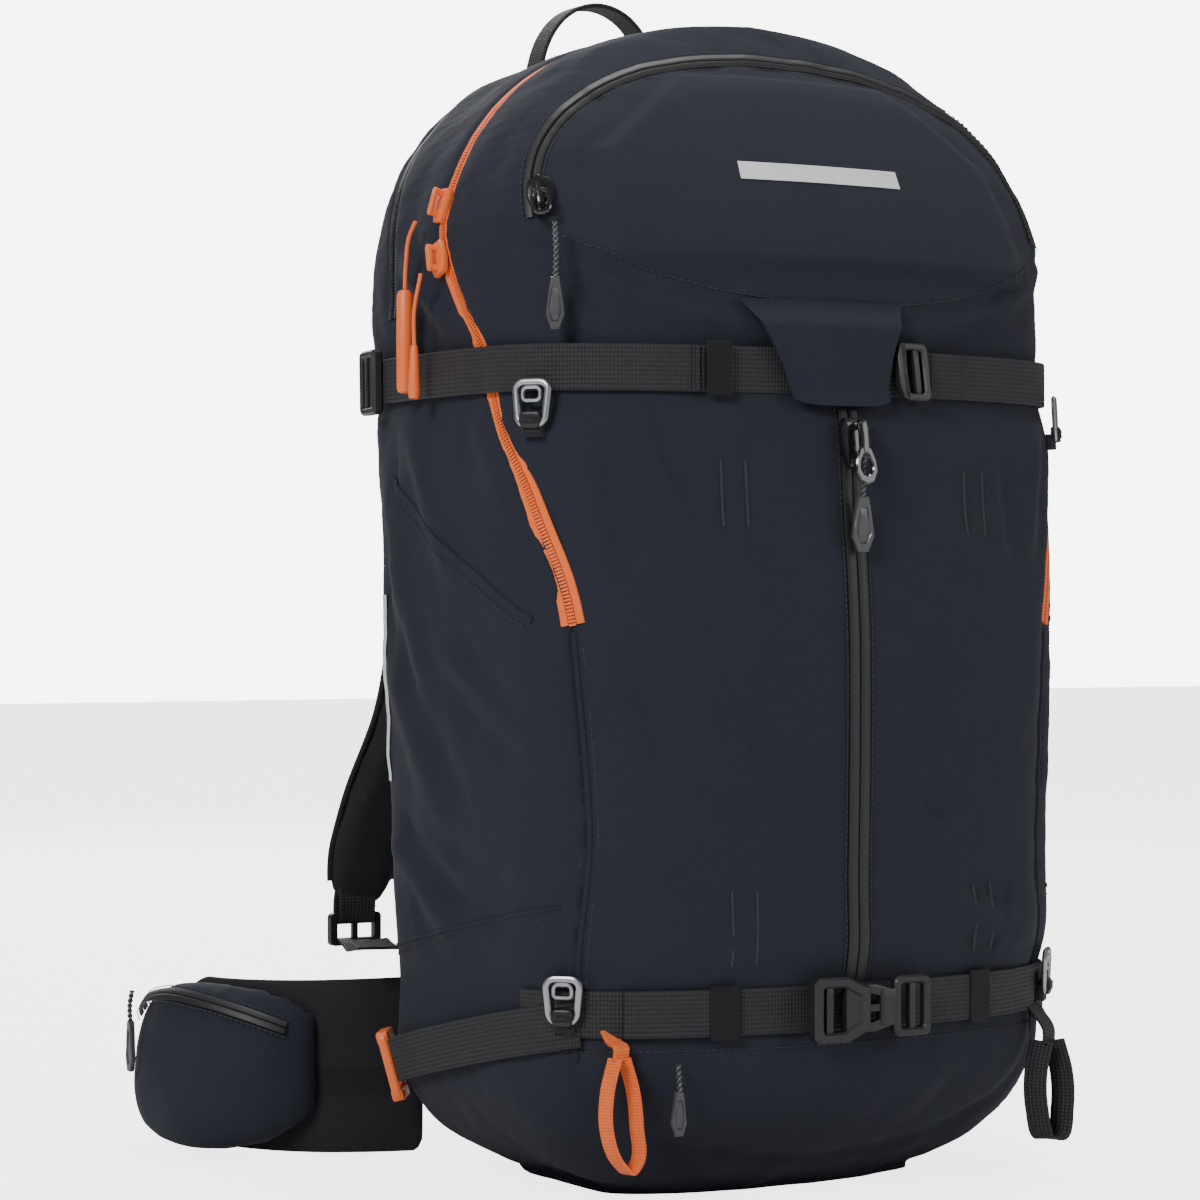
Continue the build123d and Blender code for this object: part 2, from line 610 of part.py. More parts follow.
# ---------------------------------------------------------------- hip belt
def make_hip_belt():
    fin = across_z(ribbon(FIN_LINE, FIN_THICK), FIN_BOTTOM, FIN_TOP)
    fin = fin & across_x(outline_face([(110, 6), (150, 2), (200, 2), (250, 10), (292, 30)],
                                      [(292, 80), (250, 98), (200, 106), (150, 108), (110, 106)]), -PAST, 0)
    outside = [(-188, 154), (-226, 162), (-251, 186), (-262, 224), (-252, 262), (-234, 281)]
    inside, _ = sides_of(FIN_LINE[2:], FIN_THICK / 2 + 0.3)
    _, near = sides_of(FIN_LINE[2:], FIN_THICK / 2 + 0.3)
    side = inside if inside[1][0] < near[1][0] else near
    pocket = across_z(outline_face(outside, side[::-1]), FIN_BOTTOM, FIN_TOP)
    pocket = pocket & across_x(outline_face([(140, 8), (190, 2), (235, 2), (290, 14)],
                                            [(290, 84), (235, 106), (190, 108), (140, 98)]), -PAST, 0)
    web = across_z(ribbon(((-221, 291), (-212, 301), (-192, 306)), 2), 36, 74)
    keep("hip_fin_left", fin)
    keep("hip_fin_right", mirrored(fin))
    keep("hip_pocket_left", pocket)
    keep("hip_pocket_right", mirrored(pocket))
    keep("waist_web_left", web)
    keep("waist_web_right", mirrored(web))
    keep("waist_socket", Pos(-166, 307, 55) * Rot(90, 0, 0) * buckle_socket(48, 46))
    keep("waist_plug", Pos(166, 307, 55) * Rot(90, 0, 0) * buckle_plug(48, 44))
    pull = Pos(-270, 238, 62) * Rot(0, 0, 90) * Rot(90, 0, 0) * capsule(9, 30, 3)
    pull = pull + Pos(-270, 238, 85) * Cylinder(1.4, 22)
    keep("hip_pull_left", pull)
    keep("hip_pull_right", mirrored(pull))


make_shell()
make_zips()
make_sliders()
make_pulls()
make_straps()
make_strap_hardware()
make_rings()
make_flap()
make_loops()
make_back()
make_airbag_system()
make_shoulder_pads()
make_hip_belt()

os.makedirs("parts", exist_ok=True)
for name, shape in NODES.items():
    export_step(shape, os.path.join("parts", name + ".step"))
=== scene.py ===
import json
import math

import bpy
import numpy as np
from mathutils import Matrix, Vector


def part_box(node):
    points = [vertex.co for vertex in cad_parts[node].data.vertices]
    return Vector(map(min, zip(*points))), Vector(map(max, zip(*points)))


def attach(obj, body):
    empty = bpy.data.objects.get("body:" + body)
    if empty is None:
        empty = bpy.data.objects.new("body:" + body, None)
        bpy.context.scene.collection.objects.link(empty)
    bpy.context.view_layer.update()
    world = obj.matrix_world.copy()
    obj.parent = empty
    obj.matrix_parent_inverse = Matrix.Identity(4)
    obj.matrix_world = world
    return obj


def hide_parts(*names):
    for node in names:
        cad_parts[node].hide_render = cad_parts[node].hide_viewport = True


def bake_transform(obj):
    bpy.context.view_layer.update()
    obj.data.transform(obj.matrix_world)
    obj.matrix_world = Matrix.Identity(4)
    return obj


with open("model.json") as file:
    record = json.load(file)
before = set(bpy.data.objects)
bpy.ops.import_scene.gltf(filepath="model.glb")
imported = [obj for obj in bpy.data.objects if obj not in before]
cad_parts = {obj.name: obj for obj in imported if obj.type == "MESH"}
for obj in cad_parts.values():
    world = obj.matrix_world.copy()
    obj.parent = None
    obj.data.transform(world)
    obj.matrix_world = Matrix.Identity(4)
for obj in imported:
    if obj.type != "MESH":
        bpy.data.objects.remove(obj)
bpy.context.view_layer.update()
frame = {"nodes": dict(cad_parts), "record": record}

bl_info = {
    "name": "Airbag Backpack",
    "version": (1, 0, 0),
    "blender": (4, 5, 0),
    "location": "View3D > Sidebar > Backpack",
    "description": "Builds a touring backpack with an airbag system around its packed frame",
    "category": "Object",
}

MM = 0.001

# ---------------------------------------------------------------- the bag's form, in millimetres
BAG_HEIGHT = 652.0
HALF_WIDTH = ((0, 172), (110, 175), (290, 180), (450, 181), (550, 180), (652, 172))
FRONT_DEPTH = ((0, 122), (140, 128), (290, 131), (420, 119), (510, 104), (652, 66))
BACK_DEPTH = ((0, 120), (140, 120), (340, 127), (490, 146), (652, 140))
CORNER_POWER = 7.5
FRONT_CROWN = 0.30
FRONT_TAPER = 0.07
BACK_TAPER = 0.04
PANEL_SEAM = ((80, -86), (140, -90), (206, -95), (314, -91), (382, -70), (430, -42), (469, -23),
              (502, 2), (545, 20), (600, 20), (652, 20))
AIRBAG_SEAM = ((470, 79), (510, 81), (553, 89), (592, 102), (625, 112), (652, 116))
HEM = 80.0
CLOTH_THICK = 2.0
MAIN_ZIP_END = 314.0
UPPER_WEB = 451.0
LOWER_WEB = 107.0
WEB_WIDTH = 25.0
WEB_GAP = 3.4
WEB_LAYER = 1.9
POCKET_HEM = 480.0
POCKET_ZIP_HALF, POCKET_ZIP_FOOT, POCKET_ZIP_RISE = 161.0, 530.0, 98.0
SLIDER_GAP = 3.6
STRAP_LINE = ((163, 538), (193, 524), (220, 468), (231, 400), (231, 330), (226, 262),
              (236, 205), (240, 162), (238, 140))
STRAP_MIDDLE = ((138, 123), (205, 103), (262, 83), (350, 66), (450, 56), (540, 50))
STRAP_LOW, STRAP_HIGH = 138, 540
STRAP_WIDTH = ((138, 34), (180, 54), (262, 62), (400, 64), (480, 66), (540, 56))
FIN_LINE = ((-126, 141), (-158, 149), (-190, 165), (-216, 196), (-226, 240), (-222, 284))


def between(z, knots):
    """Smooth value at z through (height, value) knots: cubic pieces whose slopes never overshoot."""
    zs, vs = (np.array(column, float) for column in zip(*knots))
    gaps = np.diff(zs)
    slopes = np.diff(vs) / gaps
    tangents = np.concatenate(([slopes[0]], np.zeros(len(zs) - 2), [slopes[-1]]))
    a, b = slopes[:-1], slopes[1:]
    tangents[1:-1] = np.where(a * b > 0, 2 * a * b / np.where(a * b > 0, a + b, 1), 0)
    z = np.asarray(z, float)
    i = np.clip(np.searchsorted(zs, z) - 1, 0, len(gaps) - 1)
    t = (z - zs[i]) / gaps[i]
    return (vs[i] * (2 * t**3 - 3 * t**2 + 1) + gaps[i] * tangents[i] * (t**3 - 2 * t**2 + t)
            + vs[i + 1] * (3 * t**2 - 2 * t**3) + gaps[i] * tangents[i + 1] * (t**3 - t**2))


def closing(z, start, top, power, root):
    """1 below start, falling to 0 at top like the side of a dome."""
    t = np.clip((z - start) / (top - start), 0, 1)
    return (1 - t**power) ** (1 / root)


def half_sizes(z):
    """Half width, depth to the front and depth to the back at height z."""
    z = np.asarray(z, float)
    base = np.clip((100 - z) / 106, 0, 1)
    heel = np.clip((30 - z) / 36, 0, 1)
    width = between(z, HALF_WIDTH) * closing(z, 495, BAG_HEIGHT, 2.2, 2.5)
    front = between(z, FRONT_DEPTH) * closing(z, 470, BAG_HEIGHT + 8, 2.2, 2.0)
    back = between(z, BACK_DEPTH) * closing(z, 550, BAG_HEIGHT + 10, 4.0, 2.0)
    width = width * np.maximum((1 - base**2.6) ** (1 / 2.6), 0.60)
    front = front * np.maximum((1 - base**2.2) ** (1 / 2.2), 0.45)
    back = back * (1 - heel**2.4) ** (1 / 2.4)
    return np.maximum(width, 0.02), front, back


def plain_skin(angle, z):
    """Point of the bag's outline: a squarish oval whose front bows outwards and narrows."""
    angle, z = np.broadcast_arrays(np.asarray(angle, float), np.asarray(z, float))
    width, front, back = half_sizes(z)
    depth = np.where(np.sin(angle) >= 0, back, front)
    reach = (np.abs(np.cos(angle) / width) ** CORNER_POWER
             + np.abs(np.sin(angle) / depth) ** CORNER_POWER) ** (-1 / CORNER_POWER)
    x, y = reach * np.cos(angle), reach * np.sin(angle)
    bowed = y * (1 - FRONT_CROWN * (x / width) ** 2)
    ahead = y < 0
    y2 = np.where(ahead, bowed, y)
    x2 = x * np.where(ahead, 1 - FRONT_TAPER * np.clip(-y2 / front, 0, 1) ** 1.5,
                      1 - BACK_TAPER * np.clip(y2 / back, 0, 1) ** 2)
    return np.stack([x2, y2, z], -1)


def unit(v):
    """Each vector divided by its length."""
    return v / np.maximum(np.linalg.norm(v, axis=-1, keepdims=True), 1e-9)


def skin_normal(angle, z):
    """Outward direction: across the two slopes of the outline."""
    low, high = np.maximum(z - 1.5, 0), np.minimum(z + 1.5, BAG_HEIGHT)
    across = plain_skin(angle + 0.012, z) - plain_skin(angle - 0.012, z)
    upward = plain_skin(angle, high) - plain_skin(angle, low)
    return unit(np.cross(across, upward))


def ripple(p, seed, size):
    """Soft noise between -1 and 1: sines along turned axes with fixed phases."""
    rng = np.random.default_rng(seed)
    total = 0
    for octave in range(4):
        way = unit(rng.normal(size=(5, 3)))
        phase = rng.uniform(0, 2 * np.pi, 5)
        waves = np.sin((p @ way.T) * (2 * np.pi * 1.7**octave / size) + phase)
        total = total + waves.mean(-1) * 0.75**octave
    return total


def bump(value, centre, width):
    """A bell of height 1 at centre."""
    return np.exp(-(((value - centre) / width) ** 2))


def step(value, low, high):
    """0 below low, 1 above high, with a smooth rise."""
    t = np.clip((value - low) / (high - low), 0, 1)
    return t * t * (3 - 2 * t)


def hem_height(x):
    """Height of the top pocket's lower seam: level in the middle, rising to both sides."""
    return POCKET_HEM + 4 + 44 * (np.abs(x) / 170) ** 2.6


def facet(x, z, inset):
    """1 on the raised plate of the top pocket, shrunk by inset: a trapezium with cut upper corners."""
    side = 138 - 0.30 * np.maximum(z - 520, 0) - inset
    cut = (np.abs(x) - side) / 7
    corner = (np.abs(x) * 0.82 + (z - 560) - 108 + inset * 1.3) / 7
    top = (z - 614 + inset) / 6
    foot = (506 + inset - z) / 9
    worst = np.maximum(np.maximum(cut, corner), np.maximum(top, foot))
    return 1 - step(worst, -0.5, 0.5)


def crease(p, start, end, depth, width):
    """A fold that runs from start to end: a ridge beside a hollow, fading at both ends."""
    a, b = np.array(start, float), np.array(end, float)
    along = b - a
    length = np.linalg.norm(along)
    along = along / length
    rel = p - a
    t = rel @ along
    side = np.cross(along, [0, 0, 1.0] if abs(along[2]) < 0.8 else [0, 1.0, 0])
    side = side / np.linalg.norm(side)
    off = np.linalg.norm(rel - t[..., None] * along, axis=-1)
    sign = np.sign((rel - t[..., None] * along) @ side)
    fade = step(t / length, -0.05, 0.25) * (1 - step(t / length, 0.7, 1.05))
    hollow = 0.8 * np.exp(-(((off * sign - width * 1.6) / width) ** 2))
    return depth * fade * (np.exp(-((off / width) ** 2)) - hollow)


FOLDS = (
    ((-60, -118, 428), (-178, -20, 300), 3.4, 9), ((-178, -20, 430), (-160, -84, 330), 3.8, 8),
    ((-179, 60, 432), (-178, -10, 330), 4.2, 10), ((-179, 96, 410), (-176, 20, 250), 3.6, 11),
    ((-178, 10, 300), (-160, -80, 240), 3.2, 9), ((-178, 90, 300), (-178, 0, 190), 3.8, 12),
    ((-176, 40, 190), (-156, -84, 150), 3.4, 8), ((-177, 100, 200), (-172, 0, 140), 3.6, 10),
    ((-176, 70, 520), (-178, -4, 470), 3.6, 8), ((-150, -88, 420), (-140, -104, 330), 2.6, 8),
    ((-120, -112, 432), (-96, -122, 372), 2.6, 7), ((-142, -98, 300), (-120, -118, 220), 2.4, 9),
    ((150, -86, 432), (138, -104, 350), 2.8, 8), ((100, -112, 430), (112, -116, 340), 2.2, 8),
    ((30, -128, 380), (120, -118, 330), 1.6, 12), ((-110, -118, 250), (-30, -130, 210), 1.6, 12),
    ((40, -128, 240), (140, -112, 190), 2.0, 12), ((-120, -112, 170), (-60, -126, 136), 2.2, 9),
    ((60, -124, 160), (150, -100, 134), 2.2, 9), ((178, 20, 430), (170, -70, 330), 3.4, 9),
    ((178, 80, 330), (176, -20, 220), 3.6, 11), ((178, 90, 200), (170, -60, 140), 3.4, 10),
    ((-150, -76, 520), (-120, -98, 486), 3.0, 8), ((-168, -50, 524), (-140, -86, 470), 3.4, 8),
    ((150, -70, 520), (118, -92, 484), 3.0, 8), ((-80, -96, 80), (-40, -70, 24), 2.0, 10),
    ((60, -100, 76), (110, -60, 26), 2.2, 10), ((-150, -60, 80), (-120, -40, 20), 2.4, 10),
)


def relief(p):
    """Height of the cloth over the plain outline: the pocket's step, pinches at straps, folds and slack."""
    x, y, z = p[..., 0], p[..., 1], p[..., 2]
    ahead = step(-y, 25, 60)
    rise = ahead * step(z, hem_height(x) - 6, hem_height(x) + 5) * (1 - step(z, 600, 640))
    height = 5.5 * rise
    height = height + 4.5 * ahead * bump(z, hem_height(x) - 9, 9) + 5.0 * facet(x, z, 0) * ahead
    side = 1 - step(-y, 60, 100)
    pinch = bump(z, UPPER_WEB, 20) * (2.0 + 2.2 * side) + bump(z, LOWER_WEB + 2, 22) * (2.4 + 1.5 * ahead)
    height = height - pinch
    height = height + 2.2 * ahead * bump(z, LOWER_WEB + 34, 22) + 2.0 * ahead * bump(z, 412, 22)
    near_strap = np.maximum(bump(z, UPPER_WEB, 17), bump(z, LOWER_WEB, 17))
    calm = (1 - near_strap) * (1 - 0.85 * facet(x, z, -6) * ahead) * (1 - 0.9 * bump(x, 0, 16) * ahead)
    folds = 0
    for start, end, depth, width in FOLDS:
        folds = folds + crease(p, start, end, depth, width)
    slack = 2.0 * side * ripple(p * (1, 1, 0.6), 4, 150) + 0.9 * ripple(p * (1, 1, 0.7), 7, 95)
    wrinkle = 0.30 * ripple(p * (1.0, 1.0, 1.6), 11, 34)
    return height + calm * (folds + slack + wrinkle)


def seam_dip(p, y_seam):
    """A shallow valley along a seam that runs down the bag's sides."""
    return -2.6 * np.exp(-(((p[..., 1] - y_seam) / 5) ** 2))


def skin(angle, z, gap=0.0):
    """The cloth's outer face, stood off by gap along its normal."""
    p = plain_skin(angle, z)
    normal = skin_normal(angle, np.broadcast_to(np.asarray(z, float), p.shape[:-1]))
    fade = (1 - step(p[..., 2], 640, 651))[..., None]
    lift = relief(p) + seam_dip(p, between(np.clip(p[..., 2], 80, 652), PANEL_SEAM)) \
        + seam_dip(p, between(np.clip(p[..., 2], 470, 652), AIRBAG_SEAM)) * step(p[..., 2], 480, 500)
    return p + normal * (lift[..., None] * fade + gap)


def angle_where(value, z, axis, low, high):
    """The angle between low and high where the outline's x (axis 0) or y (axis 1) reaches value."""
    value, z = np.broadcast_arrays(np.asarray(value, float), np.asarray(z, float))
    a, b = np.full(z.shape, float(low)), np.full(z.shape, float(high))
    for _ in range(34):
        middle = (a + b) / 2
        below = plain_skin(middle, z)[..., axis] < value
        a, b = np.where(below, middle, a), np.where(below, b, middle)
    return (a + b) / 2


def on_left(y, z):
    """Angle on the wearer's left side at depth y."""
    return np.pi - angle_where(y, z, 1, -np.pi / 2, np.pi / 2)


def on_right(y, z):
    """Angle on the wearer's right side at depth y."""
    return angle_where(y, z, 1, -np.pi / 2, np.pi / 2)


def on_front(x, z):
    """Angle on the front at sideways position x."""
    return angle_where(x, z, 0, -np.pi + 0.02, -0.02)


# ---------------------------------------------------------------- mesh building
class Form:
    """Gathers closed shapes into one mesh. Lengths are in millimetres."""

    def __init__(self):
        self.points, self.faces, self.maps, self.count = [], [], [], 0

    def add(self, points, faces, uv=None):
        """Adds points and faces, with map positions when there are any."""
        points = np.asarray(points, float).reshape(-1, 3)
        self.points.append(points)
        self.maps.append(np.zeros((len(points), 2)) if uv is None else np.asarray(uv, float).reshape(-1, 2))
        self.faces += [f for part in faces for f in (np.asarray(part) + self.count).tolist()]
        self.count += len(points)

    def grid(self, p, wrap_rows=False, wrap_columns=False, uv=None, caps=False):
        """A surface over a grid of rows and columns; a wrapped pair of directions makes a ring."""
        rows, columns = p.shape[:2]
        index = np.arange(rows * columns).reshape(rows, columns)
        if wrap_rows:
            index = np.vstack([index, index[:1]])
        if wrap_columns:
            index = np.hstack([index, index[:, :1]])
        quads = np.stack([index[:-1, :-1], index[:-1, 1:], index[1:, 1:], index[1:, :-1]], -1).reshape(-1, 4)
        faces = [quads]
        points = p.reshape(-1, 3)
        if uv is None:
            across = np.concatenate([np.zeros((rows, 1)),
                                     np.linalg.norm(np.diff(p, axis=1), axis=-1).cumsum(1)], 1)
            along = np.concatenate([np.zeros((1, columns)),
                                    np.linalg.norm(np.diff(p, axis=0), axis=-1).cumsum(0)], 0)
            uv = np.stack([across, along], -1) * MM
        uv = uv.reshape(-1, 2)
        if caps:
            first, last = p[0].mean(0), p[-1].mean(0)
            points = np.vstack([points, first, last])
            uv = np.vstack([uv, uv[0], uv[-1]])
            a, b = rows * columns, rows * columns + 1
            start, end = index[0], index[-1]
            faces.append(np.stack([start[1:], start[:-1], np.full(len(start) - 1, a)], -1))
            faces.append(np.stack([end[:-1], end[1:], np.full(len(end) - 1, b)], -1))
        self.add(points, faces, uv)

    def shell(self, outer, inner, wrap=False, uv=None):
        """A sheet with thickness: an outer and an inner grid joined round the rim."""
        rows, columns = outer.shape[:2]
        top = np.arange(rows * columns).reshape(rows, columns)
        if wrap:
            top = np.hstack([top, top[:, :1]])
        low = top + rows * columns
        quad = lambda a, b, c, d: np.stack([a, b, c, d], -1).reshape(-1, 4)
        faces = [quad(top[:-1, :-1], top[:-1, 1:], top[1:, 1:], top[1:, :-1]),
                 quad(low[:-1, :-1], low[1:, :-1], low[1:, 1:], low[:-1, 1:]),
                 quad(top[0, 1:], top[0, :-1], low[0, :-1], low[0, 1:]),
                 quad(top[-1, :-1], top[-1, 1:], low[-1, 1:], low[-1, :-1])]
        if not wrap:
            faces += [quad(top[:-1, 0], top[1:, 0], low[1:, 0], low[:-1, 0]),
                      quad(top[1:, -1], top[:-1, -1], low[:-1, -1], low[1:, -1])]
        if uv is None:
            across = np.concatenate([np.zeros((rows, 1)),
                                     np.linalg.norm(np.diff(outer, axis=1), axis=-1).cumsum(1)], 1)
            uv = np.stack([across, outer[..., 2]], -1) * MM
        self.add(np.vstack([outer.reshape(-1, 3), inner.reshape(-1, 3)]), faces,
                 np.vstack([uv.reshape(-1, 2)] * 2))

    def sweep(self, path, side, up, profile, closed=False, scale=None):
        """A profile of (side, up) points carried along a path."""
        profile = np.asarray(profile, float)
        grow = np.ones(len(path)) if scale is None else np.asarray(scale, float)
        p = (path[:, None] + side[:, None] * profile[None, :, :1] * grow[:, None, None]
             + up[:, None] * profile[None, :, 1:] * grow[:, None, None])
        around = np.linalg.norm(np.diff(np.vstack([profile, profile[:1]]), axis=0), axis=1)
        across = np.concatenate([[0], around.cumsum()[:-1]])
        along = np.concatenate([[0], np.linalg.norm(np.diff(path, axis=0), axis=1).cumsum()])
        uv = np.stack(np.broadcast_arrays(across[None, :], along[:, None]), -1) * MM
        self.grid(p[:, ::-1], wrap_rows=closed, wrap_columns=True, uv=uv[:, ::-1], caps=not closed)

    def boxes(self, centre, ex, ey, ez, half):
        """Many small blocks at once, each with its own axes; half holds the three half lengths."""
        signs = np.array([(i, j, k) for i in (-1, 1) for j in (-1, 1) for k in (-1, 1)], float)
        offsets = signs * np.asarray(half, float)
        axes = np.stack([ex, ey, ez], 1)
        p = centre[:, None] + np.einsum("kj,njd->nkd", offsets, axes)
        box = np.array([(0, 1, 3, 2), (4, 6, 7, 5), (0, 4, 5, 1), (2, 3, 7, 6), (0, 2, 6, 4), (1, 5, 7, 3)])
        faces = (box[None] + 8 * np.arange(len(centre))[:, None, None]).reshape(-1, 4)
        self.add(p, [faces])

    def build(self, name, finish, body, replaced=(), slot=None, smooth=True, cut=35):
        """Makes the object, gives it its material and ties it to its body."""
        mesh = bpy.data.meshes.new(name)
        points = np.vstack(self.points) * MM
        mesh.from_pydata(points.tolist(), [], self.faces)
        uv_of = np.vstack(self.maps)
        loops = np.zeros(len(mesh.loops), dtype=np.int32)
        mesh.loops.foreach_get("vertex_index", loops)
        layer = mesh.uv_layers.new(name="Weave")
        layer.data.foreach_set("uv", uv_of[loops].astype(np.float32).ravel())
        mesh.materials.append(finish)
        mesh.validate()
        if smooth:
            mesh.polygons.foreach_set("use_smooth", np.ones(len(mesh.polygons), bool))
            mesh.set_sharp_from_angle(angle=math.radians(cut))
        piece = bpy.data.objects.new(name, mesh)
        bpy.context.scene.collection.objects.link(piece)
        if replaced:
            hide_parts(*replaced)
        if body:
            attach(piece, body)
        return piece


def resample(path, count, *fields):
    """Even steps along a path, with the given fields carried over."""
    reach = np.concatenate([[0], np.linalg.norm(np.diff(path, axis=0), axis=1).cumsum()])
    at = np.linspace(0, reach[-1], count)
    pick = lambda values: np.stack([np.interp(at, reach, values[:, i]) for i in range(values.shape[1])], -1)
    return [pick(path)] + [pick(f) for f in fields]


def smooth_line(points, count):
    """A curve through the points, as cubic pieces over the distance between them."""
    points = np.asarray(points, float)
    reach = np.concatenate([[0], np.linalg.norm(np.diff(points, axis=0), axis=1).cumsum()])
    tangent = np.gradient(points, reach, axis=0)
    at = np.linspace(0, reach[-1], count)
    i = np.clip(np.searchsorted(reach, at) - 1, 0, len(points) - 2)
    h = (reach[i + 1] - reach[i])[:, None]
    t = (at[:, None] - reach[i][:, None]) / h
    return (points[i] * (2 * t**3 - 3 * t**2 + 1) + h * tangent[i] * (t**3 - 2 * t**2 + t)
            + points[i + 1] * (3 * t**2 - 2 * t**3) + h * tangent[i + 1] * (t**3 - t**2))


def along_of(path):
    """Unit directions along a path."""
    return unit(np.gradient(path, axis=0))


def in_mm(corners):
    """The two corners of a box, from metres to millimetres."""
    return (np.array(corner) / MM for corner in corners)


def skin_path(angles, heights, gap, count):
    """A path on the cloth with its outward and sideways directions, in even steps."""
    heights = np.broadcast_to(np.asarray(heights, float), np.shape(angles))
    path = skin(angles, heights, gap)
    out = skin_normal(angles, heights)
    path, out = resample(path, count, out)
    along = along_of(path)
    side = unit(np.cross(unit(out), along))
    return path, side, unit(np.cross(along, side)), along


def soften(path, rounds):
    """Pulls a path taut: each inner point moves to the middle of its neighbours."""
    path = path.copy()
    for _ in range(rounds):
        path[1:-1] = 0.5 * path[1:-1] + 0.25 * (path[:-2] + path[2:])
    return path


def flat_profile(width, thick, edge=0.5):
    """A band's section: flat faces and slightly rounded edges."""
    w, t = width / 2, thick / 2
    return [(-w, -t + edge), (-w + edge, -t), (w - edge, -t), (w, -t + edge),
            (w, t - edge), (w - edge, t), (-w + edge, t), (-w, t - edge)]


def round_profile(radius, sides=12, flat=1.0):
    """A circle of points, squashed by flat across its second direction."""
    turn = np.arange(sides) * 2 * np.pi / sides
    return np.stack([radius * np.cos(turn), radius * flat * np.sin(turn)], -1)


def round_rect(width, height, radius, corner=6):
    """Points of a rectangle with round corners, anticlockwise."""
    points = []
    for cx, cy, start in ((1, 1, 0), (-1, 1, 90), (-1, -1, 180), (1, -1, 270)):
        for k in range(corner):
            turn = math.radians(start + 90 * k / (corner - 1))
            points.append((cx * (width / 2 - radius) + radius * math.cos(turn),
                           cy * (height / 2 - radius) + radius * math.sin(turn)))
    return np.array(points)


def placed(shape2, depth, place):
    """Points drawn flat, put at a depth in a place made of origin, right, up and out."""
    origin, right, up, out = place
    shape2 = np.asarray(shape2, float)
    return origin + shape2[:, :1] * right + shape2[:, 1:] * up + np.asarray(depth) * out


def plate(form, outline, thick, place, edge=1.0, dome=0.0):
    """A solid tab: its outline stacked with rounded edges and closed top and bottom."""
    outline = np.asarray(outline, float)
    middle = outline.mean(0)
    reach = np.linalg.norm(outline - middle, axis=1, keepdims=True)
    rings = []
    for inset, level in ((edge, -0.5), (edge * 0.3, -0.5 + edge * 0.3 / thick), (0, -0.5 + edge / thick),
                         (0, 0.5 - edge / thick), (edge * 0.3, 0.5 - edge * 0.3 / thick), (edge, 0.5)):
        shrunk = middle + (outline - middle) * (1 - inset / reach)
        rings.append(placed(shrunk, level * thick, place))
    inner = middle + (outline - middle) * 0.5
    rings.append(placed(inner, thick / 2 + dome, place))
    form.grid(np.stack(rings), wrap_columns=True, caps=True)


def ring(form, outer, inner, thick, place, edge=0.8):
    """A frame between two outlines with rounded edges."""
    outer, inner = np.asarray(outer, float), np.asarray(inner, float)
    way = unit(np.hstack([outer - inner, np.zeros((len(outer), 1))]))[:, :2]
    h = thick / 2
    rows = [placed(outer - way * edge, -h, place), placed(outer, -h + edge, place),
            placed(outer, h - edge, place), placed(outer - way * edge, h, place),
            placed(inner + way * edge, h, place), placed(inner, h - edge, place),
            placed(inner, -h + edge, place), placed(inner + way * edge, -h, place)]
    form.grid(np.stack(rows), wrap_rows=True, wrap_columns=True)


def skin_place(angle, z, gap, turn=0.0):
    """A place on the cloth: origin, right, up and out, turned in its own plane by degrees."""
    angle, z = np.array([angle], float), np.array([z], float)
    origin = skin(angle, z, gap)[0]
    out = skin_normal(angle, z)[0]
    right = unit(np.cross([0, 0, 1.0], out))
    up = np.cross(out, right)
    c, s = math.cos(math.radians(turn)), math.sin(math.radians(turn))
    return origin, right * c + up * s, up * c - right * s, out


def moved(place, x=0.0, y=0.0, out=0.0):
    """A place shifted along its own right, up and out directions."""
    origin, right, up, normal = place
    return origin + right * x + up * y + normal * out, right, up, normal


# ---------------------------------------------------------------- shader groups and materials
def node_group(name, inputs, outputs):
    """An empty shader group with named sockets."""
    group = bpy.data.node_groups.new(name, "ShaderNodeTree")
    for label, kind, default in inputs:
        item = group.interface.new_socket(name=label, in_out="INPUT", socket_type=kind)
        if default is not None:
            item.default_value = default
    for label, kind in outputs:
        group.interface.new_socket(name=label, in_out="OUTPUT", socket_type=kind)
    return group, group.nodes.new("NodeGroupInput"), group.nodes.new("NodeGroupOutput")


def math_node(tree, operation, a, b=None):
    """One arithmetic step on sockets or plain numbers."""
    node = tree.nodes.new("ShaderNodeMath")
    node.operation = operation
    for socket, value in zip(node.inputs, (a, b)):
        if value is None:
            continue
        if isinstance(value, (int, float)):
            socket.default_value = value
        else:
            tree.links.new(value, socket)
    return node.outputs[0]


def noise(tree, vector, scale, detail=3.0, rough=0.6):
    """Soft noise over a vector, between 0 and 1."""
    node = tree.nodes.new("ShaderNodeTexNoise")
    node.inputs["Scale"].default_value = scale
    node.inputs["Detail"].default_value = detail
    node.inputs["Roughness"].default_value = rough
    tree.links.new(vector, node.inputs["Vector"])
    return node.outputs["Fac"]


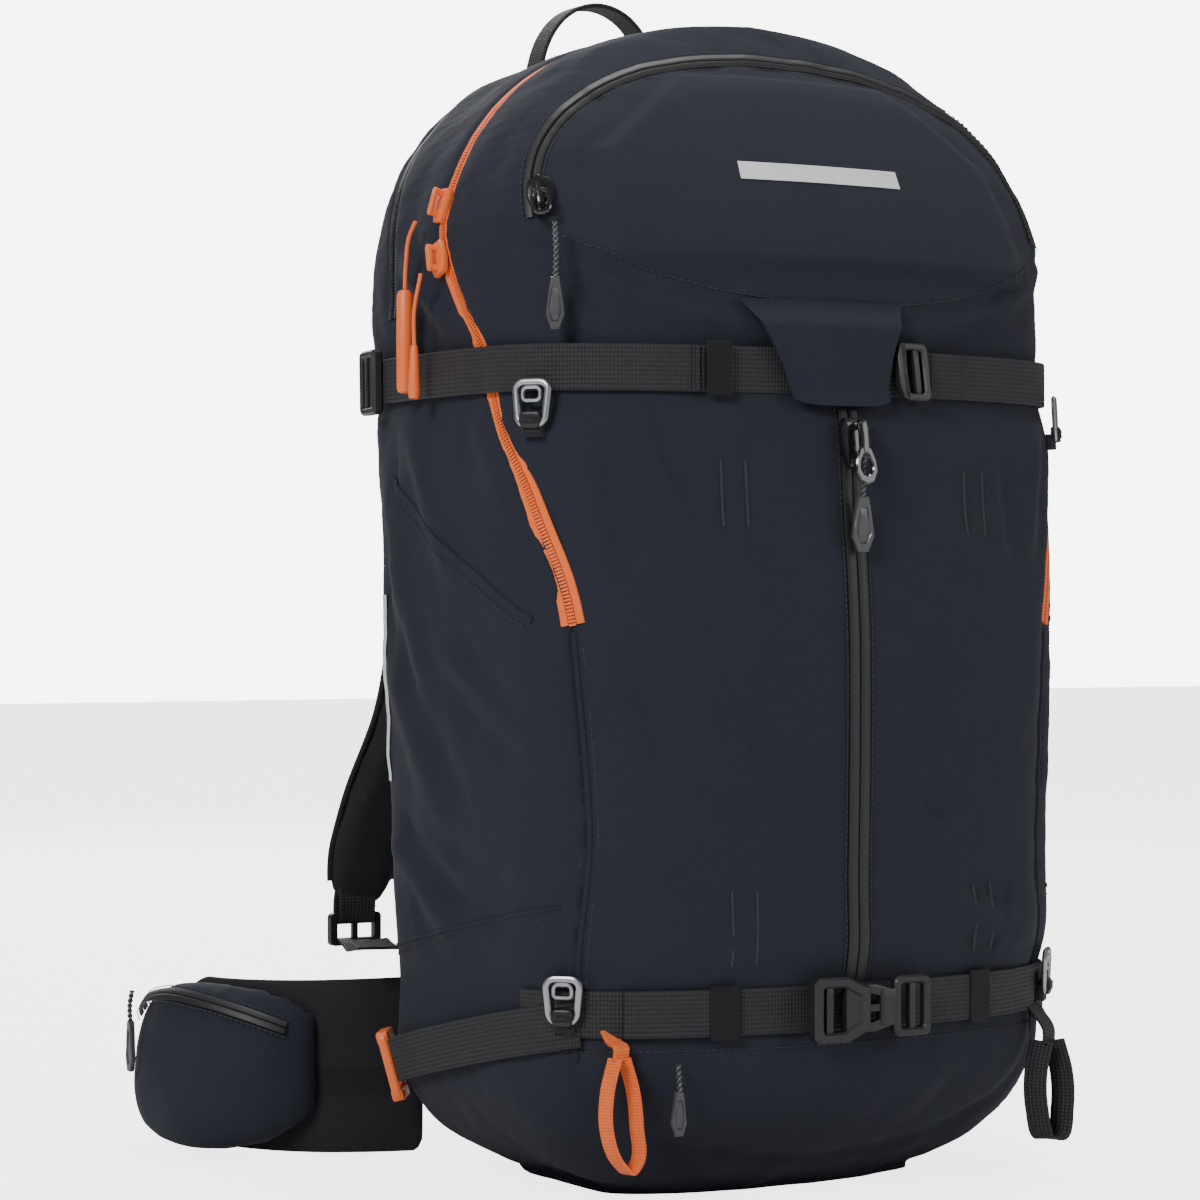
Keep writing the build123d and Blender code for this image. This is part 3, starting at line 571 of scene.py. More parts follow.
def make_weave_group():
    """Plain weave from two sines across the cloth's own map, with uneven yarns."""
    group, ins, outs = node_group(
        "Weave", [("Map", "NodeSocketVector", None), ("Across", "NodeSocketFloat", 900.0),
                  ("Along", "NodeSocketFloat", 900.0)],
        [("Height", "NodeSocketFloat"), ("Yarn", "NodeSocketFloat")])
    split = group.nodes.new("ShaderNodeSeparateXYZ")
    group.links.new(ins.outputs["Map"], split.inputs[0])
    u = math_node(group, "MULTIPLY", split.outputs[0], ins.outputs["Across"])
    v = math_node(group, "MULTIPLY", split.outputs[1], ins.outputs["Along"])
    su = math_node(group, "SINE", math_node(group, "MULTIPLY", u, math.pi))
    sv = math_node(group, "SINE", math_node(group, "MULTIPLY", v, math.pi))
    height = math_node(group, "MULTIPLY_ADD", math_node(group, "MULTIPLY", su, sv), 0.5)
    height.node.inputs[2].default_value = 0.5
    group.links.new(height, outs.inputs["Height"])
    group.links.new(noise(group, ins.outputs["Map"], 420.0, 2.0), outs.inputs["Yarn"])
    return group


def make_mottle_group():
    """Slow and fine unevenness of dye, between 0 and 1."""
    group, ins, outs = node_group(
        "Mottle", [("Place", "NodeSocketVector", None), ("Size", "NodeSocketFloat", 12.0)],
        [("Slow", "NodeSocketFloat"), ("Fine", "NodeSocketFloat")])
    scaled = group.nodes.new("ShaderNodeVectorMath")
    scaled.operation = "SCALE"
    group.links.new(ins.outputs["Place"], scaled.inputs[0])
    group.links.new(ins.outputs["Size"], scaled.inputs["Scale"])
    group.links.new(noise(group, scaled.outputs[0], 1.0, 3.0), outs.inputs["Slow"])
    group.links.new(noise(group, scaled.outputs[0], 60.0, 2.0), outs.inputs["Fine"])
    return group


def make_ribs_group():
    """Raised cords along a band, crossed by fine picks."""
    group, ins, outs = node_group(
        "Ribs", [("Map", "NodeSocketVector", None), ("Cords", "NodeSocketFloat", 420.0),
                 ("Picks", "NodeSocketFloat", 700.0)],
        [("Height", "NodeSocketFloat")])
    split = group.nodes.new("ShaderNodeSeparateXYZ")
    group.links.new(ins.outputs["Map"], split.inputs[0])
    u = math_node(group, "MULTIPLY", split.outputs[0], ins.outputs["Cords"])
    v = math_node(group, "MULTIPLY", split.outputs[1], ins.outputs["Picks"])
    cords = math_node(group, "ABSOLUTE", math_node(group, "SINE", math_node(group, "MULTIPLY", u, math.pi)))
    picks = math_node(group, "ABSOLUTE", math_node(group, "SINE", math_node(group, "MULTIPLY", v, math.pi)))
    group.links.new(math_node(group, "ADD", math_node(group, "MULTIPLY", cords, 0.6),
                              math_node(group, "MULTIPLY", picks, 0.5)), outs.inputs["Height"])
    return group


GROUPS = {}
FINISHES = {}


def start_material(name):
    """A new material with its node tree and main shader."""
    material = bpy.data.materials.new(name)
    material.use_nodes = True
    tree = material.node_tree
    return material, tree, tree.nodes["Principled BSDF"]


def colour_between(tree, factor, dark, light):
    """Blends from dark to light by a factor."""
    mix = tree.nodes.new("ShaderNodeMix")
    mix.data_type = "RGBA"
    tree.links.new(factor, mix.inputs["Factor"])
    mix.inputs["A"].default_value = (*dark, 1)
    mix.inputs["B"].default_value = (*light, 1)
    return mix.outputs["Result"]


def bump_from(tree, height, strength, distance):
    """Turns a height into a shading normal."""
    node = tree.nodes.new("ShaderNodeBump")
    node.inputs["Strength"].default_value = strength
    node.inputs["Distance"].default_value = distance
    tree.links.new(height, node.inputs["Height"])
    return node.outputs["Normal"]


def cloth_finish(name, dark, light, across=1100.0, along=1100.0, sheen=0.04, rough=0.8, depth=0.00025):
    """Woven cloth: weave bump, uneven dye, painted shade in the weave's hollows and a soft sheen."""
    material, tree, shader = start_material(name)
    uv = tree.nodes.new("ShaderNodeUVMap")
    place = tree.nodes.new("ShaderNodeTexCoord").outputs["Object"]
    weave = tree.nodes.new("ShaderNodeGroup")
    weave.node_tree = GROUPS["Weave"]
    weave.inputs["Across"].default_value = across
    weave.inputs["Along"].default_value = along
    tree.links.new(uv.outputs[0], weave.inputs["Map"])
    mottle = tree.nodes.new("ShaderNodeGroup")
    mottle.node_tree = GROUPS["Mottle"]
    tree.links.new(place, mottle.inputs["Place"])
    # Base colour mixes real yarn and dye unevenness with the weave height, which paints shade into the
    # weave's hollows and light on its crowns.
    mixed = math_node(tree, "ADD", math_node(tree, "MULTIPLY", weave.outputs["Yarn"], 0.45),
                      math_node(tree, "ADD", math_node(tree, "MULTIPLY", mottle.outputs["Slow"], 0.3),
                                math_node(tree, "MULTIPLY", weave.outputs["Height"], 0.25)))
    tree.links.new(colour_between(tree, mixed, dark, light), shader.inputs["Base Color"])
    height = math_node(tree, "ADD", weave.outputs["Height"],
                       math_node(tree, "MULTIPLY", mottle.outputs["Fine"], 0.8))
    tree.links.new(bump_from(tree, height, 0.6, depth), shader.inputs["Normal"])
    tree.links.new(math_node(tree, "MULTIPLY_ADD", weave.outputs["Yarn"], 0.2), shader.inputs["Roughness"])
    shader.inputs["Roughness"].links[0].from_node.inputs[2].default_value = rough - 0.1
    shader.inputs["Sheen Weight"].default_value = sheen
    shader.inputs["Sheen Roughness"].default_value = 0.45
    shader.inputs["Specular IOR Level"].default_value = 0.16
    return material


def webbing_finish(name, dark, light, cords=420.0, picks=520.0):
    """Webbing: raised cords and picks, with a little painted highlight on their crowns and painted shade in
    the grooves between them.
    """
    material, tree, shader = start_material(name)
    uv = tree.nodes.new("ShaderNodeUVMap")
    ribs = tree.nodes.new("ShaderNodeGroup")
    ribs.node_tree = GROUPS["Ribs"]
    ribs.inputs["Cords"].default_value = cords
    ribs.inputs["Picks"].default_value = picks
    tree.links.new(uv.outputs[0], ribs.inputs["Map"])
    # Base colour follows the rib height: painted highlight on the cord crowns, painted shade in the grooves.
    tree.links.new(colour_between(tree, ribs.outputs["Height"], dark, light), shader.inputs["Base Color"])
    tree.links.new(bump_from(tree, ribs.outputs["Height"], 0.9, 0.0006), shader.inputs["Normal"])
    shader.inputs["Roughness"].default_value = 0.62
    shader.inputs["Specular IOR Level"].default_value = 0.3
    shader.inputs["Sheen Weight"].default_value = 0.03
    return material


def moulded_finish(name, dark, light, rough, coat=0.0, metallic=0.0, grain=0.00006):
    """Moulded or cast parts: fine grain and slightly uneven gloss."""
    material, tree, shader = start_material(name)
    place = tree.nodes.new("ShaderNodeTexCoord").outputs["Object"]
    mottle = tree.nodes.new("ShaderNodeGroup")
    mottle.node_tree = GROUPS["Mottle"]
    mottle.inputs["Size"].default_value = 60.0
    tree.links.new(place, mottle.inputs["Place"])
    tree.links.new(colour_between(tree, mottle.outputs["Slow"], dark, light), shader.inputs["Base Color"])
    tree.links.new(bump_from(tree, mottle.outputs["Fine"], 0.5, grain), shader.inputs["Normal"])
    tree.links.new(math_node(tree, "MULTIPLY_ADD", mottle.outputs["Slow"], 0.15), shader.inputs["Roughness"])
    shader.inputs["Roughness"].links[0].from_node.inputs[2].default_value = rough - 0.07
    shader.inputs["Coat Weight"].default_value = coat
    shader.inputs["Metallic"].default_value = metallic
    return material


def make_finishes(look):
    """Every finish of the object, from the two chosen colours and fixed ones."""
    navy = np.array(look.shell_colour[:3])
    orange = np.array(look.accent_colour[:3])
    GROUPS["Weave"] = make_weave_group()
    GROUPS["Mottle"] = make_mottle_group()
    GROUPS["Ribs"] = make_ribs_group()
    FINISHES.update(
        navy_fabric=cloth_finish("Navy shell cloth", navy * 0.72, navy * 1.4),
        black_fabric=cloth_finish("Black harness cloth", (0.010, 0.010, 0.012), (0.030, 0.030, 0.034)),
        mesh_foam=cloth_finish("Spacer mesh", (0.008, 0.008, 0.010), (0.045, 0.045, 0.050), 330, 330, 0.2,
                               0.85, 0.0009),
        zip_orange=cloth_finish("Orange zip tape", orange * 0.8, orange * 1.05, 900, 900, 0.1, 0.6),
        coil_orange=moulded_finish("Orange zip coil", orange * 0.75, orange * 0.95, 0.45),
        zip_black=moulded_finish("Coated zip tape", (0.008, 0.008, 0.009), (0.016, 0.016, 0.018), 0.5),
        webbing_black=webbing_finish("Black webbing", (0.006, 0.006, 0.007), (0.028, 0.028, 0.031)),
        binding_black=cloth_finish("Black binding", (0.008, 0.008, 0.009), (0.02, 0.02, 0.022), 900, 900,
                                   0.1),
        webbing_orange=webbing_finish("Orange webbing", orange * 0.7, orange * 1.05, 500, 600),
        plastic_black=moulded_finish("Black acetal", (0.010, 0.010, 0.011), (0.018, 0.018, 0.020), 0.42),
        plastic_gloss=moulded_finish("Gloss black lacquer", (0.006, 0.006, 0.007), (0.01, 0.01, 0.012),
                                     0.16, 0.8),
        plastic_orange=moulded_finish("Orange moulding", orange * 0.85, orange * 1.02, 0.4),
        pull_grey=moulded_finish("Grey soft tab", (0.035, 0.035, 0.038), (0.075, 0.075, 0.08), 0.35, 0.3),
        hook_metal=moulded_finish("Cast hook", (0.33, 0.34, 0.36), (0.5, 0.5, 0.52), 0.32, 0.0, 1.0),
        frame_plastic=moulded_finish("Frame sheet plastic", (0.09, 0.09, 0.1), (0.14, 0.14, 0.15), 0.5),
        stay_metal=moulded_finish("Stay metal", (0.5, 0.5, 0.52), (0.65, 0.65, 0.67), 0.35, 0.0, 1.0),
        cartridge_paint=moulded_finish("Cartridge paint", (0.55, 0.12, 0.03), (0.7, 0.16, 0.05), 0.3, 0.4),
        inflator_metal=moulded_finish("Anodised head", (0.3, 0.31, 0.33), (0.45, 0.46, 0.48), 0.3, 0.0, 1.0),
        airbag_nylon=cloth_finish("Airbag nylon", (0.6, 0.16, 0.04), (0.85, 0.3, 0.08), 1400, 1400, 0.1,
                                  0.5),
        reflective=moulded_finish("Pale print", (0.62, 0.63, 0.64), (0.78, 0.78, 0.78), 0.45),
        thread_black=cloth_finish("Black thread", (0.03, 0.03, 0.034), (0.06, 0.06, 0.066), 2500, 2500, 0.0),
    )


# ---------------------------------------------------------------- the bag
def rows_up(low, high, count, crowd=1.0):
    """Heights from low to high, closer together near the top when crowd is above 1."""
    t = np.linspace(0, 1, count)
    return high - (high - low) * (1 - t) ** crowd


def make_walls():
    """Front panel and main shell: the skin from seam to seam, closed into a sheet 2 mm thick."""
    z = rows_up(HEM, BAG_HEIGHT - 0.02, 250, 1.35)
    start = angle_where(between(z, PANEL_SEAM), z, 1, -np.pi / 2, np.pi / 2)
    t = np.linspace(0, 1, 170)
    for name, node, low, high in (("front_panel_cloth", "front_panel", -(np.pi + start), start),
                                  ("main_shell_cloth", "main_shell", start, np.pi - start)):
        angles = low[:, None] + (high - low)[:, None] * t
        heights = np.broadcast_to(z[:, None], angles.shape)
        outer = skin(angles, heights)
        form = Form()
        form.shell(outer, outer - skin_normal(angles, heights) * CLOTH_THICK)
        form.build(name, FINISHES["navy_fabric"], "pack", [node], "navy_fabric", cut=80)


def make_base():
    """Base panel: rings of the skin down to the ground, then a flat floor of shrinking rings."""
    angles = np.linspace(0, 2 * np.pi, 360, endpoint=False)
    z = np.concatenate([np.linspace(0.0, 20, 14), np.linspace(22, HEM, 30)])
    heights = np.broadcast_to(z[:, None], (len(z), len(angles)))
    wide = np.broadcast_to(angles, heights.shape)
    wall = skin(wide, heights)
    wall[..., 2] = np.maximum(wall[..., 2], 0.0)
    inside = wall - skin_normal(wide, heights) * CLOTH_THICK
    inside[..., 2] = np.maximum(inside[..., 2], CLOTH_THICK)
    share = np.linspace(0.03, 0.97, 10)[:, None, None]
    floor = wall[0] * share
    floor_in = inside[0] * share
    floor[..., 2], floor_in[..., 2] = 0.0, CLOTH_THICK
    form = Form()
    form.shell(np.vstack([floor, wall]), np.vstack([floor_in, inside]), wrap=True)
    form.build("base_panel_cloth", FINISHES["navy_fabric"], "pack", ["base_panel"], "navy_fabric", cut=60)


def stitches(form, path, side, up, along, offset, pitch=4.0, long=2.6, lift=0.3):
    """A row of thread blocks beside a path."""
    reach = np.linalg.norm(np.diff(path, axis=0), axis=1).sum()
    count = max(int(reach / pitch), 2)
    p, s, u, a = resample(path, count, side, up, along)
    form.boxes(p + s * offset + u * lift, unit(a), unit(s), unit(u), (long / 2, 0.28, 0.22))


def seam_stitching():
    """Two rows of thread beside the panel seam below the zip, and one round the hem."""
    form = Form()
    z = np.linspace(HEM + 4, MAIN_ZIP_END - 6, 60)
    for side_of in (on_left, on_right):
        angle = side_of(between(z, PANEL_SEAM), z)
        path, side, up, along = skin_path(angle, z, 0.0, 120)
        stitches(form, path, side, up, along, 4.5)
        stitches(form, path, side, up, along, -4.5)
    angles = np.linspace(-np.pi, 0.0, 200)
    path, side, up, along = skin_path(angles, np.full(200, HEM + 7), 0.0, 300)
    stitches(form, path, side, up, along, 0)
    x = np.linspace(-150, 150, 120)
    z = hem_height(x) + 3
    path, side, up, along = skin_path(on_front(x, z), z, 0.2, 240)
    stitches(form, path, side, up, along, 0)
    form.build("seam_stitching", FINISHES["thread_black"], "pack", slot="black_fabric", smooth=False)


def side_details():
    """Raised welts: the front corner seams, the side pocket's slanting edge and the lower patch."""
    form = Form()
    for side_of in (on_left, on_right):
        z = np.linspace(HEM + 2, MAIN_ZIP_END - 4, 50)
        path, side, up, _ = skin_path(side_of(between(z, PANEL_SEAM), z), z, 0.2, 90)
        form.sweep(path, side, up, flat_profile(3.4, 2.2, 0.9))
        z = np.linspace(395, MAIN_ZIP_END + 2, 40)
        y = 76 - 154 * (395 - z) / (395 - MAIN_ZIP_END)
        path, side, up, _ = skin_path(side_of(y, z), z, 0.2, 90)
        form.sweep(path, side, up, flat_profile(4.0, 1.8, 0.7))
        y = np.linspace(104, -84, 40)
        z = 128 + 36 * (104 - y) / 188
        path, side, up, _ = skin_path(side_of(y, z), z, 0.1, 90)
        form.sweep(path, side, up, flat_profile(2.6, 1.4, 0.5))
    form.build("side_welts", FINISHES["navy_fabric"], "pack", slot="navy_fabric")
    threads = Form()
    for side_of in (on_left, on_right):
        y = np.linspace(104, -80, 40)
        z = 128 + 36 * (104 - y) / 188
        path, side, up, along = skin_path(side_of(y, z - 5), z - 5, 0.0, 90)
        stitches(threads, path, side, up, along, 0)
        z = np.linspace(388, MAIN_ZIP_END + 4, 40)
        y = 70 - 146 * (388 - z) / (388 - MAIN_ZIP_END)
        path, side, up, along = skin_path(side_of(y, z - 5), z - 5, 0.0, 90)
        stitches(threads, path, side, up, along, 0)
    threads.build("side_threads", FINISHES["thread_black"], "pack", slot="black_fabric", smooth=False)


def stitched_slits():
    """Pairs of short stitched slits on the front where gear loops can be threaded."""
    form = Form()
    for x0, z0, z1 in ((-71, 366, 402), (88, 362, 398), (-68, 132, 172), (92, 132, 170)):
        for x in (x0 - 7, x0 + 7):
            z = np.linspace(z0, z1, 12)
            path, side, up, _ = skin_path(on_front(np.full(12, x), z), z, 0.0, 24)
            form.sweep(soften(path, 40), side, up, flat_profile(1.4, 1.4, 0.2))
    form.build("front_slits", FINISHES["thread_black"], "pack", slot="black_fabric")


def print_bars():
    """Plain pale bars: one on the top pocket and two upright ones low on the left side."""
    form = Form()
    x = np.linspace(-51, 51, 40)
    z = np.full(40, 556.0)
    path, side, up, _ = skin_path(on_front(x, z), z, 0.25, 40)
    form.sweep(path, side, up, flat_profile(11, 0.3, 0.1))
    form.build("front_bar", FINISHES["reflective"], "pack", slot="hook_metal")
    for name, y, z0, z1, finish, wide in (("side_bar_pale", 92, 224, 330, "reflective", 10),
                                          ("side_bar_orange", 106, 222, 286, "zip_orange", 4)):
        form = Form()
        z = np.linspace(z0, z1, 40)
        path, side, up, _ = skin_path(on_left(np.full(40, y), z), z, 0.3, 40)
        form.sweep(path, side, up, flat_profile(wide, 0.3, 0.1))
        form.build(name, FINISHES[finish], "pack", slot="hook_metal" if wide > 5 else "zip_orange")


# ---------------------------------------------------------------- zips
def over_the_top(seam, foot):
    """A seam's way: up the left side, over the crown and down the right, pulled taut."""
    z = rows_up(foot, BAG_HEIGHT - 0.05, 150, 2.2)
    left = on_left(between(z, seam), z)
    right = on_right(between(z, seam), z)
    path = np.vstack([skin(left, z, 0.4), skin(right, z, 0.4)[::-1]])
    out = np.vstack([skin_normal(left, z), skin_normal(right, z)[::-1]])
    path, out = resample(path, 460, out)
    out = unit(soften(out, 60))
    path = soften(path, 40)
    along = along_of(path)
    side = unit(np.cross(out, along))
    return path, side, unit(np.cross(along, side)), along


def zip_tape(name, way, width, body, node, tape, coil, slot):
    """A coil zip: two folded tape edges with the coil's turns between them."""
    path, side, up, along = way
    form = Form()
    half = (width - 4.2) / 2
    for sign in (-1, 1):
        form.sweep(path + side * sign * (2.1 + half / 2) + up * 0.5, side, up, flat_profile(half, 1.5, 0.6))
    form.sweep(path - up * 0.1, side, up, flat_profile(5.0, 0.6, 0.2))
    form.build(name, FINISHES[tape], body, [node], slot)
    reach = np.linalg.norm(np.diff(path, axis=0), axis=1).sum()
    p, s, u, a = resample(path, int(reach / 1.9), side, up, along)
    turns = Form()
    turns.boxes(p + u * 0.8, unit(a), unit(s), unit(u), (0.62, 1.9, 0.7))
    turns.build(name + "_coil", FINISHES[coil], body, slot=slot, smooth=False)


def sealed_tape(name, way, width, body, node):
    """A coated zip: two smooth lips that meet in a fine gap, with a stitched edge."""
    path, side, up, along = way
    form = Form()
    half = width / 2 - 0.35
    lip = [(-half / 2, -0.6), (half / 2, -0.6), (half / 2, 0.2), (half / 2 - 0.8, 0.7), (-half / 2 + 1, 0.5),
           (-half / 2, 0.0)]
    mirror_lip = [(-a, b) for a, b in lip[::-1]]
    form.sweep(path - side * (half / 2 + 0.35) + up * 0.5, side, up, lip)
    form.sweep(path + side * (half / 2 + 0.35) + up * 0.5, side, up, mirror_lip)
    form.build(name, FINISHES["zip_black"], body, [node] if node else (), "zip_black")
    threads = Form()
    for sign in (-1, 1):
        stitches(threads, path, side, up, along, sign * (width / 2 + 1.6), 3.4, 2.2)
    threads.build(name + "_thread", FINISHES["thread_black"], body, slot="zip_black", smooth=False)


def pocket_arch():
    """The pocket zip's way: half of a squarish oval, wide and low."""
    turn = np.linspace(0, np.pi, 160)
    x = -np.sign(np.cos(turn)) * POCKET_ZIP_HALF * np.abs(np.cos(turn)) ** (2 / 2.2)
    z = POCKET_ZIP_FOOT + POCKET_ZIP_RISE * np.sin(turn) ** (2 / 2.2)
    return skin_path(on_front(x, z), z, 0.6, 260)


def make_zip_pieces():
    """The two coil zips over the top and the two coated zips on the front."""
    zip_tape("main_zip_tape", over_the_top(PANEL_SEAM, MAIN_ZIP_END), 13.0, "pack", "main_zip",
             "zip_orange", "coil_orange", "zip_orange")
    zip_tape("airbag_zip_tape", over_the_top(AIRBAG_SEAM, 486.0), 10.0, "pack", "airbag_zip",
             "zip_black", "zip_black", "zip_black")
    path, side, up, along = pocket_arch()
    sealed_tape("pocket_zip_tape", (path, side, up, along), 9.0, "pack", "pocket_zip")
    z = np.linspace(430, 96, 80)
    front = skin_path(on_front(np.zeros(80), z), z, 0.5, 140)
    sealed_tape("front_zip_tape", front, 13.0, "pack", "front_zip")


def slider_shape(form, place, size=1.0):
    """A slider: a flared body, side cheeks and the bridge over it."""
    body = np.array([(-4.2, 8), (4.2, 8), (5.6, 5), (6.0, 0), (4.2, -7), (3.2, -9), (-3.2, -9), (-4.2, -7),
                     (-6.0, 0), (-5.6, 5)]) * size
    plate(form, body, 3.2 * size, place, 0.8 * size)
    plate(form, round_rect(3.2 * size, 14 * size, 1.4 * size), 2.0 * size,
          moved(place, out=5.6 * size), 0.6 * size, 0.3)
    for y in (-5.2, 5.2):
        plate(form, round_rect(3.0 * size, 3.0 * size, 0.8 * size), 5.4 * size,
              moved(place, y=y * size, out=3.0 * size), 0.5)


def cord_line(form, points, radius=1.25, strands=True, count=60):
    """A short twisted puller cord: two strands that wind round each other along a smooth line."""
    path = smooth_line(points, count)
    along = along_of(path)
    other = np.array([0.31, 0.9, 0.3])
    side = unit(np.cross(along, other))
    up = np.cross(along, side)
    if not strands:
        form.sweep(path, side, up, round_profile(radius, 10))
        return
    reach = np.concatenate([[0], np.linalg.norm(np.diff(path, axis=0), axis=1).cumsum()])
    turn = reach / 6.0 * 2 * np.pi
    for phase in (0, np.pi):
        shift = side * np.cos(turn + phase)[:, None] + up * np.sin(turn + phase)[:, None]
        form.sweep(path + shift * radius * 0.55, side, up, round_profile(radius * 0.7, 8))


def drop_tab(form, place, width, height, thick):
    """A soft puller: a hexagonal drop with a sunk middle."""
    w, h = width / 2, height / 2
    outline = np.array([(-w * 0.45, h), (w * 0.45, h), (w * 0.75, h * 0.35), (w, -h * 0.45), (w * 0.45, -h),
                        (-w * 0.45, -h), (-w, -h * 0.45), (-w * 0.75, h * 0.35)])
    outline = np.array([outline[k] * (1 - t) + outline[(k + 1) % 8] * t for k in range(8) for t in (0, 0.5)])
    ring(form, outline, outline * 0.62 + (0, -h * 0.05), thick, place, 0.7)
    plate(form, outline * 0.66, thick * 0.55, place, 0.4)


def make_slider_pieces():
    """The sliders of the main, pocket and front zips, each at its own place on the cloth."""
    form = Form()
    top = skin_place(on_left(np.array([20.0]), np.array([545.0]))[0], 545.0, SLIDER_GAP)
    low = skin_place(on_left(np.array([11.0]), np.array([514.0]))[0], 514.0, SLIDER_GAP, turn=200)
    slider_shape(form, top, 1.15)
    slider_shape(form, low, 1.15)
    form.build("main_sliders", FINISHES["plastic_orange"], "pack", ["fixed_zip_sliders"], "plastic_orange")
    form = Form()
    foot = skin_place(on_front(np.array([-157.0]), np.array([540.0]))[0], 540.0, SLIDER_GAP, turn=10)
    slider_shape(form, foot, 1.25)
    ring(form, round_rect(11, 16, 5), round_rect(6.5, 11, 3), 2.2, moved(foot, y=-7, out=7.6))
    form.build("pocket_slider", FINISHES["plastic_gloss"], "pack", slot="plastic_gloss")
    form = Form()
    place = skin_place(-np.pi / 2, 412.0, 4.2)
    slider_shape(form, place, 1.6)
    drop = np.array([(0, 9), (3.5, 7), (6.5, 0), (7.0, -6), (4.5, -11), (0, -13), (-4.5, -11), (-7.0, -6),
                     (-6.5, 0), (-3.5, 7)])
    ring(form, drop, drop * 0.55 + (0, -1), 2.6, moved(place, y=-12, out=9.4))
    form.build("front_slider", FINISHES["plastic_gloss"], "front_slider", ["front_zip_slider"],
               "plastic_gloss")


def turned(form, x, y, z, radius, sides):
    """A round body on an upright axis: the given radius at each height, joined by cones."""
    line = np.stack([np.full(len(z), x), np.full(len(z), y), z], -1)
    form.sweep(line, np.tile([1.0, 0, 0], (len(z), 1)), np.tile([0, 1.0, 0], (len(z), 1)),
               round_profile(1.0, sides), scale=radius)


def make_pull_pieces():
    """The turned tube and taper on the main zip, and the soft drops on the other zips."""
    low, high = in_mm(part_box("main_zip_tube_pull"))
    x, y = (low[0] + high[0]) / 2, (low[1] + high[1]) / 2
    form = Form()
    turned(form, x, y, np.array([0, 0.8, 3, 30, 54, 56.5, 57.2]) + low[2],
           (2.2, 3.9, 4.6, 4.75, 4.5, 3.6, 1.8), 20)
    cord_line(form, [(x, y, low[2] + 56), (x + 0.4, y - 0.6, low[2] + 72), (x + 1.2, y - 3, high[2] - 8),
                     (x + 2.5, y - 8, high[2])], 1.2, False)
    form.build("tube_pull", FINISHES["plastic_orange"], "tube_puller", ["main_zip_tube_pull"],
               "plastic_orange")
    low, high = in_mm(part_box("main_zip_small_pull"))
    x, y = (low[0] + high[0]) / 2, (low[1] + high[1]) / 2
    form = Form()
    turned(form, x, y, np.array([0, 0.6, 4, 16, 27, 29.5, 30]) + low[2],
           (1.6, 3.1, 3.5, 3.0, 2.3, 1.9, 1.0), 18)
    cord_line(form, [(x, y, low[2] + 29), (x + 0.4, y + 1, low[2] + 48), (x + 3, y - 2, high[2])],
              1.15, False)
    form.build("small_pull", FINISHES["plastic_orange"], "small_puller", ["main_zip_small_pull"],
               "plastic_orange")
    for node, body, name, wide, tall in (("pocket_zip_pull", "pocket_puller", "pocket_pull", 10, 28),
                                         ("front_zip_pull", "front_puller", "front_pull", 14, 30),
                                         ("base_zip_pull", "base_puller", "base_pull", 9, 24)):
        low, high = in_mm(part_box(node))
        middle = (low + high) / 2
        turn = -35 if node.startswith("pocket") else 0
        c, s = math.cos(math.radians(turn)), math.sin(math.radians(turn))
        place = (np.array([middle[0], middle[1], low[2] + tall / 2]), np.array([c, s, 0]),
                 np.array([0, 0, 1.0]), np.array([s, -c, 0]))
        form = Form()
        drop_tab(form, place, wide, tall, 3.4)
        cord_line(form, [(middle[0], middle[1], low[2] + tall - 4),
                         (middle[0], middle[1] - 0.8, high[2] - 14),
                         (middle[0], middle[1] + 0.5, high[2])], 1.3)
        form.build(name, FINISHES["pull_grey"], body, [node], "pull_grey")


# ---------------------------------------------------------------- straps, buckles and hooks
def hoop_path(z, y_back, gap, count=420):
    """A taut path round the outside of the bag at one height, from the left to the right."""
    right = on_right(np.array([y_back]), np.array([z]))[0]
    angles = np.linspace(-(np.pi + right), right, count)
    path = skin(angles, np.full(count, z), 0.0)
    out = skin_normal(angles, np.full(count, z))
    out[..., 2] = 0
    out = unit(out)
    path = soften(path, 30) + out * gap
    path, out = resample(path, count, out)
    along = along_of(path)
    side = unit(np.cross(unit(out), along))
    return path, side, unit(np.cross(along, side)), along


def cut_path(way, x0, x1, lift=0.0):
    """The stretch of a front path between two X positions, lifted off."""
    path, side, up, along = way
    keep = (path[:, 0] >= x0) & (path[:, 0] <= x1) & (path[:, 1] < 0)
    return path[keep] + up[keep] * lift, side[keep], up[keep], along[keep]


def band_on(form, way, lift=0.0):
    """Webbing along a way, lifted off it when it lies over another layer."""
    path, side, up, _ = way
    form.sweep(path + up * lift, side, up, flat_profile(WEB_WIDTH, 1.7))


def bar_tack(form, way, x, width=22.0):
    """Close zigzag stitching across a band at one X."""
    path, side, up, along = way
    i = np.argmin(np.abs(path[:, 0] - x) + (path[:, 1] > 0) * 999)
    for shift in (-1.2, 1.2):
        n = 12
        offsets = np.linspace(-width / 2, width / 2, n)[:, None]
        spot = path[i] + side[i] * offsets + along[i] * shift + up[i] * 1.1
        tile = lambda v: np.tile(v, (n, 1))
        form.boxes(spot, tile(along[i]), tile(side[i]), tile(up[i]), (0.35, 0.8, 0.25))


